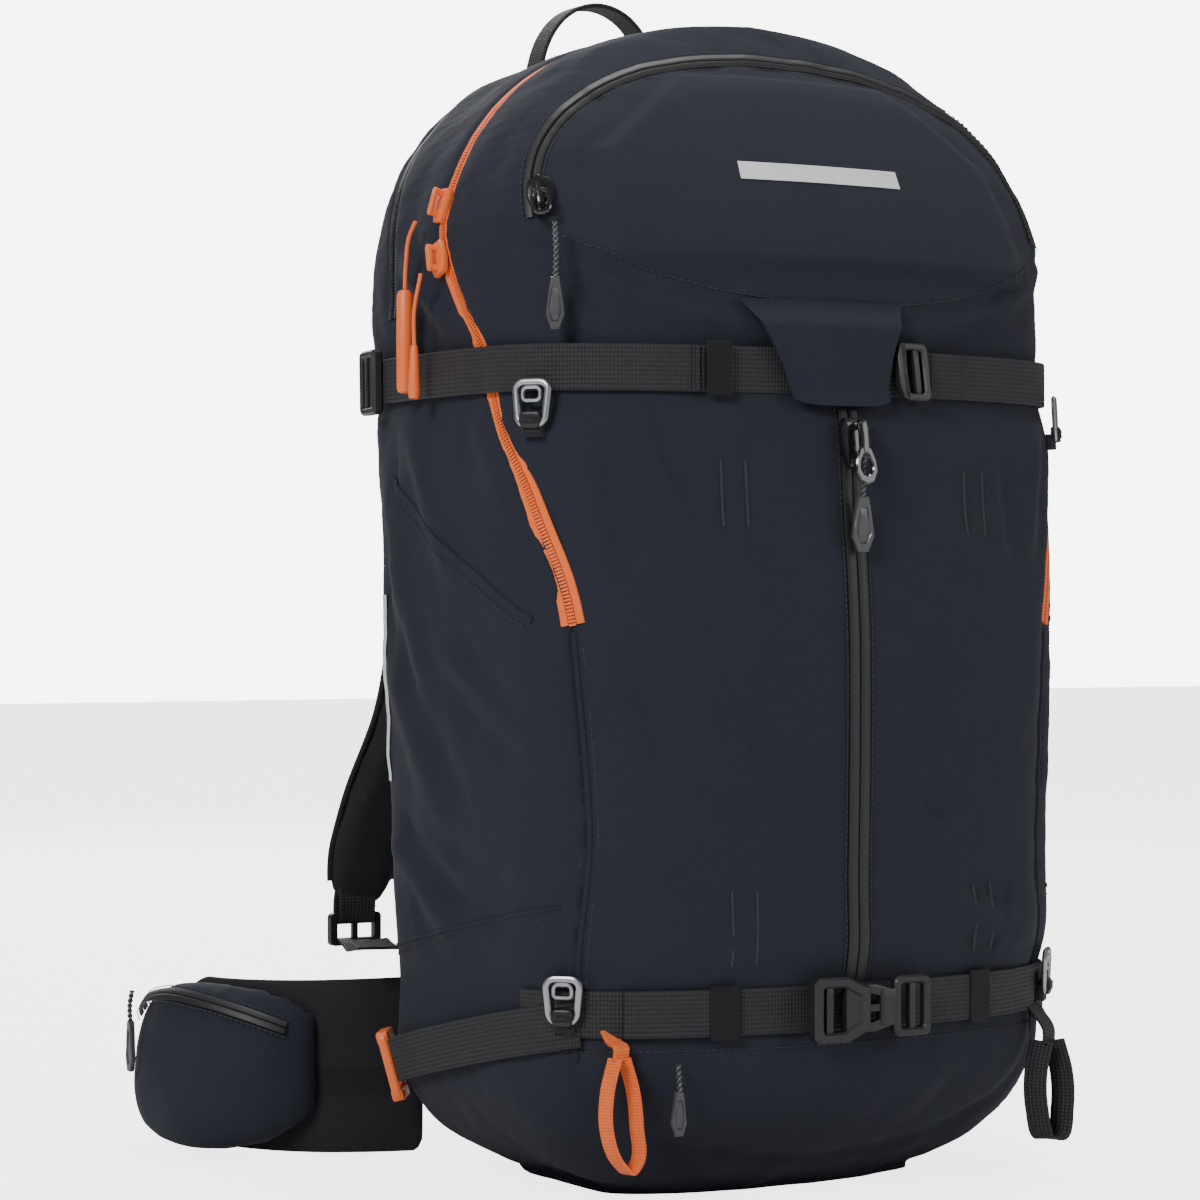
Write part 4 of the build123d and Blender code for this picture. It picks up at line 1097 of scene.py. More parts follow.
def make_upper_strap():
    """The upper webbing, taut round the bag, with its folded ends laid over it and their tacks."""
    way = hoop_path(UPPER_WEB, 108.0, WEB_GAP)
    form = Form()
    band_on(form, way)
    keep = way[0][:, 1] < 96
    left = tuple(v[(way[0][:, 0] < -86) & keep] for v in way)
    band_on(form, left, lift=WEB_LAYER)
    band_on(form, cut_path(way, 52, 86), lift=WEB_LAYER)
    right = tuple(v[(way[0][:, 0] > 60) & (way[0][:, 1] < 84)] for v in way)
    band_on(form, right, lift=2.0)
    form.build("upper_webbing", FINISHES["webbing_black"], "pack", ["upper_strap"], "webbing_black")
    threads = Form()
    for x in (-88, -92, 84, 58):
        bar_tack(threads, tuple(v if k else v + way[2] * WEB_LAYER for k, v in enumerate(way)), x)
    threads.build("upper_tacks", FINISHES["thread_black"], "pack", slot="black_fabric", smooth=False)


def make_lower_strap():
    """The lower webbing across the front and slanting up both sides, and the keepers."""
    way = hoop_path(LOWER_WEB, -60.0, WEB_GAP)
    form = Form()
    band_on(form, way)
    band_on(form, cut_path(way, -130, -84), lift=WEB_LAYER)
    band_on(form, cut_path(way, 36, 120), lift=WEB_LAYER)
    t = np.linspace(0, 1, 60)
    y, z = 112 - 200 * t, 62 + 40 * t
    for side_of in (on_left, on_right):
        path, side, up, along = skin_path(side_of(y, z), z, 0.0, 90)
        band_on(form, (soften(path, 30) + up * 5.0, side, up, along))
    form.build("lower_webbing", FINISHES["webbing_black"], "pack", ["lower_strap"], "webbing_black")
    keepers = Form()
    loops = [(hoop_path(UPPER_WEB, 108.0, 5.6), -78), (way, -78), (way, 88)]
    for run, x in loops:
        part = cut_path(run, x - 8, x + 8, 3.2)
        keepers.sweep(part[0], part[1], part[2], flat_profile(29, 1.2, 0.4))
    keepers.build("keepers", FINISHES["binding_black"], "pack", ["strap_keepers"], "webbing_black")


def front_spot(x, z, gap, turn=0.0):
    """A place on the front at x and z."""
    return skin_place(on_front(np.array([float(x)]), np.array([float(z)]))[0], z, gap, turn)


def make_lower_buckle():
    """Side-release buckle: the socket stays on the bag, the plug slides on its webbing."""
    low, high = in_mm(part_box("lower_buckle_socket"))
    upright = (np.array([1.0, 0, 0]), np.array([0, 0, 1.0]), np.array([0, -1.0, 0]))
    y = (low[1] + high[1]) / 2
    place = (np.array([(low[0] + high[0]) / 2, y, LOWER_WEB]), *upright)
    form = Form()
    outer = np.array([(-18, -15), (-15, -17.5), (4, -17.5), (14, -13), (18, -12), (18, 12), (14, 13),
                      (4, 17.5), (-15, 17.5), (-18, 15), (-18, 5), (-18, -5)], float)
    window = np.array([(-12, -11), (-11, -12), (1, -12), (8, -8), (11, -7), (11, 7), (8, 8), (1, 12),
                       (-11, 12), (-12, 11), (-12, 4), (-12, -4)], float)
    ring(form, outer, window, 8.0, place, 1.4)
    plate(form, round_rect(4.5, 26, 1.5), 5.0, moved(place, x=-8), 0.8)
    plate(form, round_rect(9, 24, 2), 5.5, moved(place, x=7), 1.0)
    form.build("buckle_socket", FINISHES["plastic_black"], "pack", ["lower_buckle_socket"], "plastic_black")
    low, high = in_mm(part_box("lower_buckle_plug"))
    y = (low[1] + high[1]) / 2
    place = (np.array([(low[0] + high[0]) / 2, y, LOWER_WEB]), *upright)
    form = Form()
    ring(form, round_rect(24, 33, 4), round_rect(15, 24, 2), 6.0, moved(place, x=14), 1.2)
    plate(form, round_rect(4, 26, 1.5), 4.0, moved(place, x=14), 0.8)
    plate(form, round_rect(12, 20, 2.5), 5.0, moved(place, x=-1), 1.0)
    for sign in (-1, 1):
        prong = np.array([(4, 5), (4, 9), (-10, 13), (-20, 12.5), (-24, 9), (-23, 7), (-14, 8), (-6, 6)],
                         float)
        prong[:, 1] *= sign
        plate(form, prong[::sign], 3.6, place, 0.7)
    plate(form, round_rect(22, 4, 1.5), 3.2, moved(place, x=-13), 0.7)
    form.build("buckle_plug", FINISHES["plastic_black"], "buckle_plug", ["lower_buckle_plug"],
               "plastic_black")


def make_upper_buckles():
    """Two ladder buckles on the sides, and the gated hook beside the front."""
    form = Form()
    for side_of in (on_left, on_right):
        place = skin_place(side_of(np.array([98.0]), np.array([UPPER_WEB]))[0], UPPER_WEB, 8.4)
        ring(form, round_rect(30, 37, 4), round_rect(22, 28, 2), 6.0, place, 1.3)
        plate(form, round_rect(4, 30, 1.6), 5.0, moved(place, x=-3), 1.0)
        plate(form, round_rect(3.2, 30, 1.4), 4.0, moved(place, x=6), 0.8)
    place = front_spot(43, UPPER_WEB, 8.6)
    ring(form, round_rect(20, 32, 3.5), round_rect(11.5, 24, 2), 5.0, place, 1.1)
    plate(form, round_rect(3.6, 26, 1.5), 4.6, moved(place, x=1), 0.9)
    hook = np.array([(-10, 15), (-6, 16), (-6, 4), (-8.6, 2), (-8.6, -2), (-6, -4), (-6, -16), (-10, -15),
                     (-12, -8), (-12, 8)], float)
    plate(form, hook[::-1], 5.0, place, 0.9)
    form.build("upper_buckles", FINISHES["plastic_black"], "pack", ["upper_strap_buckles"], "plastic_black")


def closed_tube(form, outline, place, radius, flat=1.0):
    """A round bar bent along a closed flat outline."""
    path = placed(outline, 0.0, place)
    along = unit(np.roll(path, -1, 0) - np.roll(path, 1, 0))
    up = np.tile(place[3], (len(path), 1))
    side = unit(np.cross(up, along))
    form.sweep(path, side, up, round_profile(radius, 10, flat), closed=True)


def make_hook_pieces():
    """Four metal hooks on webbing tabs with moulded feet, and two coloured corner hooks."""
    form, caps, tabs = Form(), Form(), Form()
    for side_of in (on_left, on_right):
        for z, y in ((UPPER_WEB - 20, -72.0), (LOWER_WEB + 8, -84.0)):
            place = skin_place(side_of(np.array([y]), np.array([z]))[0], z, 7.6)
            plate(tabs, round_rect(12, 9, 1.5), 7.0, moved(place, y=-13, out=-3.6), 0.6)
            plate(tabs, round_rect(12, 5, 1.2), 2.4, moved(place, y=-8.5, out=2.2), 0.6)
            outline = round_rect(17, 23, 5, 8)
            outline[:, 0] *= 1 + 0.14 * outline[:, 1] / 12
            closed_tube(form, outline, place, 1.9, 0.8)
            closed_tube(form, round_rect(10, 7, 2.5, 6) + (0, 5), place, 1.2)
            plate(caps, round_rect(11, 9, 2), 5.5, moved(place, y=-9), 1.0)
    form.build("hook_bars", FINISHES["hook_metal"], "pack", ["gear_hooks"], "hook_metal")
    caps.build("hook_feet", FINISHES["plastic_black"], "pack", slot="plastic_black")
    tabs.build("hook_tabs", FINISHES["webbing_black"], "pack", slot="webbing_black")
    form = Form()
    for side_of in (on_left, on_right):
        place = skin_place(side_of(np.array([103.0]), np.array([62.0]))[0], 62.0, 7.4, turn=-4)
        ring(form, round_rect(20, 40, 4), round_rect(11, 28, 2.5), 5.4, place, 1.2)
        plate(form, round_rect(18, 7, 2), 7.0, moved(place, y=17), 1.2)
        plate(form, round_rect(18, 7, 2), 7.0, moved(place, y=-17), 1.2)
    form.build("corner_hooks", FINISHES["plastic_orange"], "pack", ["coloured_hooks"], "plastic_orange")


def make_cover_flap():
    """Cloth cover: hangs from the pocket hem over the strap, with rounded sides and a sewn edge."""
    rows, columns = 44, 56
    v = np.linspace(0, 1, rows)[:, None]
    t = np.linspace(-1, 1, columns)[None, :]
    z = np.broadcast_to(432 + 56 * v, (rows, columns))
    middle = -5 + (-7) * v
    half = 31 + 20 * v**1.6
    x = middle + half * t
    z = z + 2.0 * (1 - v) * (t**4) * 1.5
    gap = 9.2 - 7.6 * step(v, 0.72, 1.0) - 1.2 * (1 - v) + 0.5 * np.cos(t * 4)
    outer = skin(on_front(x, z), z, 0.0)
    taut = outer.copy()
    plain = plain_skin(on_front(x, np.full_like(z, 451)), np.full_like(z, 451))
    taut[..., 1] = np.minimum(outer[..., 1], plain[..., 1]) - gap
    form = Form()
    form.shell(taut, taut + np.array([0, 1.6, 0]))
    form.build("strap_cover_cloth", FINISHES["navy_fabric"], "strap_cover", ["cover_flap"], "navy_fabric",
               cut=50)


def hung_loop(form, points, facing, width):
    """A band of webbing through the points, its width turned towards the facing direction."""
    path = smooth_line(points, 80)
    along = along_of(path)
    facing = unit(np.array(facing))
    side = unit(np.tile(facing, (80, 1)) - along * (along @ facing)[:, None])
    form.sweep(path, side, unit(np.cross(along, side)), flat_profile(width, 1.8, 0.5))


def make_loop_pieces():
    """The haul loop, the anchors and yokes on the bag's back, and the two loops at the foot."""
    turn = np.linspace(0, np.pi, 60)
    low, high = in_mm(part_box("haul_loop"))
    x = 43 * np.cos(turn)
    z = low[2] + (high[2] - 1.5 - low[2]) * np.sin(turn) ** 0.62
    path = np.stack([x, np.full(60, (low[1] + high[1]) / 2), z], -1)
    path = resample(path, 90)[0]
    along = along_of(path)
    side = np.tile([0, 1.0, 0], (90, 1))
    form = Form()
    form.sweep(path, side, unit(np.cross(along, side)), flat_profile(19, 2.6, 0.8))
    form.build("haul_webbing", FINISHES["webbing_black"], "haul_handle", ["haul_loop"], "webbing_black")

    for sign, word in ((-1, "left"), (1, "right")):
        ribbon_between("haul_anchor_" + word, [(sign * 43, 159, 618), (sign * 43, 158, 604),
                                               (sign * 43, 151, 590), (sign * 43, 149, 572),
                                               (sign * 43, 149, 548)], 19, (1, 0, 0))
        ribbon_between("strap_yoke_" + word, [(sign * 50, 162, 541), (sign * 50, 154, 541),
                                              (sign * 50, 149, 534), (sign * 50, 148.4, 512)], 54, (1, 0, 0),
                       finish="binding_black")

    low, high = in_mm(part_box("axe_loop"))
    mid = (low + high) / 2
    points = [(-3, 0, 0), (-9, -2, -18), (-10, -3, -36), (-3, -4, -55), (3, -4.5, -60), (8, -4, -55),
              (9, -2, -36), (8, 0, -18), (3, 1, 0)]
    form = Form()
    hung_loop(form, np.array(points) + (mid[0], mid[1] + 3, high[2] - 1), (0.25, -0.97, 0.0), 10)
    form.build("axe_webbing", FINISHES["webbing_orange"], "orange_loop", ["axe_loop"], "webbing_orange")

    low, high = in_mm(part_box("base_loop"))
    mid = (low + high) / 2
    for word, x, y, wide, lean, finish in (("axe", -135, -106, 11, (1, 0.2, 0), "webbing_orange"),
                                           ("base", 148, -103, 15, (0.86, 0.5, 0), "webbing_black")):
        foot = skin(on_front(np.array([x - 2.0]), np.array([98.0])), np.array([98.0]), 1.5)[0]
        top = 86 if word == "axe" else 78
        ribbon_between(word + "_anchor", [(x, y, top - 2), (x, y, top + 5),
                                          (foot[0], (y + foot[1]) / 2 - 1, 93), tuple(foot)],
                       wide, lean, finish=finish)
    points = [(-4, 0, 0), (-9, -1, -18), (-9, -2, -38), (-4, -3, -54), (4, -3, -54), (9, -2, -38),
              (9, -1, -18), (4, 0, 0)]
    form = Form()
    hung_loop(form, np.array(points) + (mid[0], mid[1] + 2, high[2] - 1), (0.5, -0.86, 0.0), 14)
    form.build("base_webbing", FINISHES["webbing_black"], "black_loop", ["base_loop"], "webbing_black")


# ---------------------------------------------------------------- padding
def puff(piece, voxel=0.005, pressure=4.0, cap=0.006):
    """Swells a closed pad with a short cloth run, then holds every point within cap of where it was."""
    remesh = piece.modifiers.new("Even", "REMESH")
    remesh.mode = "VOXEL"
    remesh.voxel_size = voxel
    bpy.context.view_layer.objects.active = piece
    bpy.ops.object.select_all(action="DESELECT")
    piece.select_set(True)
    bpy.ops.object.modifier_apply(modifier=remesh.name)
    count = len(piece.data.vertices)
    before = np.zeros(count * 3)
    piece.data.vertices.foreach_get("co", before)
    cloth = piece.modifiers.new("Cloth", "CLOTH")
    cloth.settings.use_pressure = True
    cloth.settings.uniform_pressure_force = pressure
    cloth.settings.effector_weights.gravity = 0
    cloth.point_cache.frame_start, cloth.point_cache.frame_end = 1, 20
    scene = bpy.context.scene
    for k in range(1, 21):
        scene.frame_set(k)
    shaped = piece.evaluated_get(bpy.context.evaluated_depsgraph_get())
    after = np.zeros(count * 3)
    shaped.data.vertices.foreach_get("co", after)
    piece.modifiers.remove(cloth)
    scene.frame_set(1)
    shift = (after - before).reshape(-1, 3)
    size = np.linalg.norm(shift, axis=1, keepdims=True)
    shift *= np.minimum(1, cap / np.maximum(size, 1e-9))
    piece.data.vertices.foreach_set("co", (before.reshape(-1, 3) + shift).ravel())
    piece.data.polygons.foreach_set("use_smooth", np.ones(len(piece.data.polygons), bool))
    round_off = piece.modifiers.new("Smooth", "SUBSURF")
    round_off.levels = round_off.render_levels = 1


def soft_section(count=32, power=3.0):
    """A unit section between an oval and a rectangle."""
    turn = np.arange(count) * 2 * np.pi / count
    c, s = np.cos(turn), np.sin(turn)
    return np.stack([np.sign(c) * np.abs(c) ** (2 / power), np.sign(s) * np.abs(s) ** (2 / power)], -1)


def padded_strap(name, mirror):
    """Shoulder pad: a soft section of changing width carried down the strap's curve."""
    line = smooth_line([(0, y, z) for y, z in STRAP_LINE], 110)
    z = line[:, 2]
    x = -between(np.clip(z, STRAP_LOW, STRAP_HIGH), STRAP_MIDDLE)
    path = np.stack([x, line[:, 1], z], -1)
    along = along_of(path)
    side = np.tile([1.0, 0, 0], (len(path), 1))
    side = unit(side - along * np.sum(side * along, 1, keepdims=True))
    up = unit(np.cross(along, side))
    t = np.linspace(0, 1, len(path))
    end = (1 - (np.clip(1 - t / 0.035, 0, 1)) ** 2) ** 0.5
    end = end * (1 - (np.clip((t - 0.96) / 0.04, 0, 1)) ** 2) ** 0.5
    end = np.maximum(end, 0.05)
    width = between(np.clip(z, STRAP_LOW, STRAP_HIGH), STRAP_WIDTH) / 2 * (0.75 + 0.25 * end)
    section = soft_section(40, 3.2)
    thick = 6.6 * end
    edge = 1 - 0.45 * np.abs(section[:, 0]) ** 6
    p = (path[:, None] + side[:, None] * (width[:, None] * section[None, :, 0])[..., None]
         + up[:, None] * (thick[:, None] * section[None, :, 1] * edge[None])[..., None])
    if mirror:
        p = p[..., ::-1, :] * (-1, 1, 1)
    form = Form()
    form.grid(p, wrap_columns=True, caps=True)
    return form.build(name, FINISHES["black_fabric"], None, cut=180)


def edge_binding(name, mirror, body):
    """A thin bound edge round the shoulder pad's rim."""
    line = smooth_line([(0, y, z) for y, z in STRAP_LINE], 110)[4:-4]
    z = line[:, 2]
    middle = -between(np.clip(z, STRAP_LOW, STRAP_HIGH), STRAP_MIDDLE)
    half = between(np.clip(z, STRAP_LOW, STRAP_HIGH), STRAP_WIDTH) / 2
    form = Form()
    for sign in (-1, 1):
        path = np.stack([middle + sign * (half - 0.8), line[:, 1], z], -1)
        if mirror:
            path[:, 0] *= -1
        along = along_of(path)
        side = unit(np.cross(along, [1.0, 0, 0]))
        form.sweep(path, side, unit(np.cross(along, side)), round_profile(2.3, 10, 0.7))
    form.build(name, FINISHES["binding_black"], body, slot="webbing_black")


def make_shoulder_pieces():
    """Both shoulder pads, swelled by a cloth run, with bound edges."""
    for name, node, body, mirror in (("pad_left", "shoulder_pad_left", "left_strap", False),
                                     ("pad_right", "shoulder_pad_right", "right_strap", True)):
        piece = padded_strap(name, mirror)
        puff(piece, 0.005, 3.0, 0.0022)
        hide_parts(node)
        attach(piece, body)
        edge_binding(name + "_edge", mirror, body)


def back_line(z, gap):
    """Depth of the bag's back at height z, stood off by gap."""
    return half_sizes(z)[2] + gap


def cushion(name, x0, x1, z0, z1, gap, thick, grooves):
    """Back pad: a crowned sheet over the bag's back, thin at its edge, with sewn grooves across it."""
    rows, columns = 120, 48
    v = np.linspace(0, 1, rows)[:, None]
    u = np.linspace(-1, 1, columns)[None, :]
    z = z0 + (z1 - z0) * v + 0 * u
    x = (x0 + x1) / 2 + (x1 - x0) / 2 * u + 0 * v
    rim = (1 - np.abs(u) ** 6) ** 0.5 * (1 - np.abs(2 * v - 1) ** 14) ** 0.5
    rise = 1.5 + (thick - 1.5) * rim
    for groove in grooves:
        rise = rise - (thick * 0.42) * np.exp(-(((z - groove - 6 * u**2) / 4.5) ** 2)) * rim
    inner = np.stack([x, back_line(z, gap), z], -1)
    outer = np.stack([x, back_line(z, gap) + rise, z], -1)
    form = Form()
    form.shell(outer[:, ::-1], inner[:, ::-1], uv=np.stack([x, z], -1)[:, ::-1] * MM)
    return form.build(name, FINISHES["mesh_foam"], None, cut=60)


def make_back_pieces():
    """Two tall back pads and the lumbar pad."""
    grooves = (176, 236, 296, 356, 416, 470)
    pieces = [cushion("back_pad_left", -112, -15, 116, 496, 1.0, 12.5, grooves),
              cushion("back_pad_right", 15, 112, 116, 496, 1.0, 12.5, grooves)]
    for k, piece in enumerate(pieces):
        if k == 0:
            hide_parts("back_panel_foam")
        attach(piece, "pack")
    lumbar = cushion("lumbar_cushion", -98, 98, 36, 112, 1.0, 20, (74,))
    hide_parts("lumbar_pad")
    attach(lumbar, "pack")


# ---------------------------------------------------------------- webbing of the harness
def ribbon_between(name, points, width, across, blend=None, replaced=(), body="pack",
                   finish="webbing_black"):
    """Webbing through the points, its width along the across direction; with blend it is baked in place and
    tied to no body, and the bodies and end points in blend are not used.
    """
    path = smooth_line(points, 50)
    along = along_of(path)
    side = np.tile(unit(np.asarray(across, float)), (50, 1))
    side = unit(side - along * np.sum(side * along, 1, keepdims=True))
    form = Form()
    form.sweep(path, side, unit(np.cross(along, side)), flat_profile(width, 1.8))
    slot = "webbing_black" if finish.startswith("binding") else finish
    piece = form.build(name, FINISHES[finish], None if blend else body, replaced, slot)
    if blend:
        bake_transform(piece)
    return piece


def make_chest_pieces():
    """Sternum webbing, the handle's pouch and the release handle, and the loops at the ladder locks."""
    for sign, word in ((-1, "left"), (1, "right")):
        body = word + "_sternum"
        ribbon_between("sternum_web_" + word, [(sign * 84, 241.3, 382), (sign * 60, 241.6, 382),
                                               (sign * 40, 242.2, 382), (sign * 27, 243.6, 382)],
                       20, (0, 0, 1),
                       replaced=["sternum_strap_" + word], body=body)
        place = (np.array([sign * 60, 243.6, 382]), np.array([-1.0, 0, 0]), np.array([0, 0, 1.0]),
                 np.array([0, 1.0, 0]))
        form = Form()
        ring(form, round_rect(11, 28, 2.5), round_rect(6, 22, 1.5), 3.6, place, 0.8)
        form.build("sternum_clip_" + word, FINISHES["plastic_black"], body, slot="plastic_black")
        strap = word + "_strap"
        ribbon_between("lock_loop_" + word, [(sign * 123, 240, 152), (sign * 123, 242.6, 140),
                                             (sign * 123, 241.4, 131), (sign * 123, 236.6, 130),
                                             (sign * 123, 233.6, 140), (sign * 123, 235, 152)],
                       24, (1, 0, 0),
                       body=strap)
        if sign < 0:
            low, high = in_mm(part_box("handle_pouch"))
            middle = (low + high) / 2
            section = soft_section(40, 5.0)
            z = np.linspace(low[2] + 1, high[2] - 3, 14)
            outer = np.stack([middle[0] + 19.6 * section[:, 0] * np.ones((14, 1)),
                              middle[1] + 5.9 * section[:, 1] * np.ones((14, 1)),
                              np.broadcast_to(z[:, None], (14, 40))], -1)
            inner = outer.copy()
            inner[..., 0] = middle[0] + 15.5 * section[:, 0]
            inner[..., 1] = middle[1] + 4.3 * section[:, 1]
            form = Form()
            form.shell(outer, inner, wrap=True)
            place = (np.array([middle[0], middle[1], high[2] - 2.2]), np.array([1.0, 0, 0]),
                     np.array([0, 1.0, 0]), np.array([0, 0, 1.0]))
            plate(form, section * (19.4, 5.8), 2.4, place, 0.8)
            form.build("handle_sleeve", FINISHES["black_fabric"], strap, ["handle_pouch"], "black_fabric")
            low, high = in_mm(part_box("release_handle"))
            middle = (low + high) / 2
            place = (middle, np.array([-1.0, 0, 0]), np.array([0, 0, 1.0]), np.array([0, 1.0, 0]))
            form = Form()
            ring(form, round_rect(20, 72, 7), round_rect(9, 26, 4) + (0, -18), 6.0, place, 1.8)
            form.build("handle_grip", FINISHES["plastic_orange"], "trigger", ["release_handle"],
                       "plastic_orange")


def make_waist_webbing():
    """The waist strap from each fin to its half of the buckle."""
    for sign, word in ((-1, "left"), (1, "right")):
        ribbon_between("waist_strap_" + word, [(sign * 222, 286, 55), (sign * 219, 293, 55),
                                               (sign * 211, 301, 55), (sign * 192, 305.4, 55)],
                       38, (0, 0, 1),
                       replaced=["waist_web_" + word], body=word + "_fin")


def make_harness_webbing():
    """Webbing between the bag and the swinging shoulder straps, baked in place."""
    for sign, word in ((-1, "left"), (1, "right")):
        strap = word + "_strap"
        start = (sign * 0.165, 0.125, 0.124)
        end = (sign * 0.124, 0.228, 0.118)
        ribbon_between("adjuster_" + word, [(sign * 166, 118, 126), (sign * 158, 142, 126),
                                            (sign * 144, 176, 124), (sign * 131, 208, 117),
                                            (sign * 124, 233, 119)], 24, (1, 0.3, 0),
                       ("pack", strap, start, end), ["adjuster_web_" + word])
        lifter = ribbon_between("lifter_" + word, [(sign * 62, 138, 622), (sign * 62, 152, 606),
                                                   (sign * 60, 172, 582), (sign * 57, 190, 538)],
                                20, (1, 0, 0),
                                ("pack", strap, (sign * 0.062, 0.150, 0.610), (sign * 0.058, 0.188, 0.545)))
        if sign < 0:
            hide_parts("load_lifters")


# ---------------------------------------------------------------- hip belt
def fin_frame(count, start=0.0):
    """Even points along the fin's curve from a share of its length, with the outward direction."""
    line = smooth_line([(x, y, 0) for x, y in FIN_LINE], 200)
    line = line[int(200 * start):]
    line = resample(line, count)[0]
    along = along_of(line)
    outward = np.stack([-along[:, 1], along[:, 0], np.zeros(count)], -1)
    outward *= np.sign(np.sum(outward * (line - np.array([-100, 240, 0])), 1))[:, None]
    return line, outward


def mirror_points(p, mirror):
    """The points mirrored to the right side, or as they are."""
    return p[..., ::-1, :] * (-1, 1, 1) if mirror else p


def fin_shape(mirror):
    """Hip fin: a soft padded section that gets lower towards its tip."""
    count = 80
    line, outward = fin_frame(count)
    t = np.linspace(0, 1, count)
    top = 106 - 4 * t - 26 * step(t, 0.7, 1.0)
    foot = 3.2 + 2 * t + 30 * step(t, 0.72, 1.0)
    end = np.maximum((1 - np.clip((t - 0.93) / 0.07, 0, 1) ** 2) ** 0.5, 0.06)
    end = end * np.maximum((1 - np.clip(1 - t / 0.03, 0, 1) ** 2) ** 0.5, 0.3)
    section = soft_section(40, 3.4)
    z = ((top + foot) / 2)[:, None] + ((top - foot) / 2 * (0.82 + 0.18 * end))[:, None] * section[None, :, 1]
    thick = 5.8 * end[:, None] * section[None, :, 0] * (1 - 0.3 * np.abs(section[None, :, 1]) ** 8)
    p = line[:, None] + outward[:, None] * thick[..., None]
    p[..., 2] = z
    form = Form()
    form.grid(mirror_points(p, mirror), wrap_columns=True, caps=True)
    return form


def pocket_shape(mirror):
    """Hip pocket: bulges from the fin's outer face, fullest low down, with slack folds."""
    rows, columns = 90, 80
    line, outward = fin_frame(rows, 0.30)
    t = np.linspace(0, 1, rows)
    turn = np.arange(columns) * 2 * np.pi / columns
    c, s = np.cos(turn), np.sin(turn)
    full = (np.sin(np.pi * np.clip(t, 0.0, 1.0)) ** 0.55)[:, None]
    deep = np.where(c > 0, np.abs(c) ** 0.75, 0.0)[None, :] * (1 - 0.22 * s[None, :]) * 33 * full
    top = 108 - 8 * t - 20 * step(t, 0.82, 1)
    foot = 3 + 16 * step(t, 0.8, 1.0) + 6 * (1 - step(t, 0, 0.2))
    shape = np.sign(s) * np.abs(s) ** 0.8
    z = ((top + foot) / 2)[:, None] + ((top - foot) / 2)[:, None] * shape[None, :] * (0.5 + 0.5 * full)
    p = line[:, None] + outward[:, None] * (6.2 + deep)[..., None]
    p[..., 2] = z
    lift = (1.6 * ripple(p, 21, 60) + 0.8 * ripple(p, 22, 30)) * (np.clip(c, 0, 1) ** 0.5)[None, :] * full
    p = p + outward[:, None] * lift[..., None]
    p[..., 2] = np.maximum(p[..., 2], 2.2)
    form = Form()
    form.grid(mirror_points(p, mirror), wrap_columns=True, caps=True)
    return form


def pocket_zip_way(mirror):
    """The zip's arch over the upper part of the pocket's outer face."""
    rows = 120
    line, outward = fin_frame(rows, 0.34)
    t = np.linspace(0, 1, rows)
    full = np.sin(np.pi * (0.06 + 0.92 * t)) ** 0.55
    rise = 0.50 + 0.24 * np.sin(np.pi * t)
    c = np.sqrt(1 - rise**2)
    deep = c**0.75 * (1 - 0.22 * rise) * 33 * full
    path = line + outward * (9.4 + deep)[:, None]
    path[:, 2] = 55 + 51 * np.sign(rise) * rise**0.8 * (0.5 + 0.5 * full)
    path = resample(path[6:-8], 110)[0]
    outward = resample(line, 110, outward)[1]
    out = unit(outward + np.array([0, 0, 0.75]))
    if mirror:
        path, out = path[::-1] * (-1, 1, 1), out[::-1] * (-1, 1, 1)
    along = along_of(path)
    side = unit(np.cross(out, along))
    return path, side, unit(np.cross(along, side)), along


def make_hip_pieces():
    """Both hip fins and pockets, with their zips and soft pulls."""
    for mirror, word in ((False, "left"), (True, "right")):
        body = word + "_fin"
        fin = fin_shape(mirror).build("fin_" + word, FINISHES["black_fabric"], None, cut=180)
        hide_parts("hip_fin_" + word)
        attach(fin, body)
        pocket = pocket_shape(mirror).build("pocket_" + word, FINISHES["navy_fabric"], None, cut=180)
        puff(pocket, 0.005, 4.0, 0.0035)
        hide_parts("hip_pocket_" + word)
        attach(pocket, body)
        sealed_tape("hip_zip_" + word, pocket_zip_way(mirror), 8.0, body, None)
        low, high = in_mm(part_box("hip_pull_" + word))
        middle = (low + high) / 2
        sign = 1 if mirror else -1
        place = (np.array([middle[0], middle[1], low[2] + 16]), np.array([0, sign * 1.0, 0]),
                 np.array([0, 0, 1.0]), np.array([sign * 1.0, 0, 0]))
        form = Form()
        drop_tab(form, place, 9, 30, 3.2)
        cord_line(form, [(middle[0], middle[1], low[2] + 28),
                         (middle[0] + sign * 0.5, middle[1], high[2] - 8),
                         (middle[0] - sign, middle[1], high[2])], 1.3)
        form.build("hip_tab_" + word, FINISHES["pull_grey"], word + "_hip_puller", ["hip_pull_" + word],
                   "pull_grey")


# ---------------------------------------------------------------- carried-over nodes and stage
def dress_frame_nodes():
    """Every CAD node that still shows gets the finish of its slot."""
    for part in frame["record"]["subparts"]:
        item = frame["nodes"].get(part["node"])
        finish = FINISHES.get(part["material_slot"])
        if item is None or finish is None:
            continue
        if not item.material_slots:
            item.data.materials.append(finish)
        for holder in item.material_slots:
            holder.material = finish


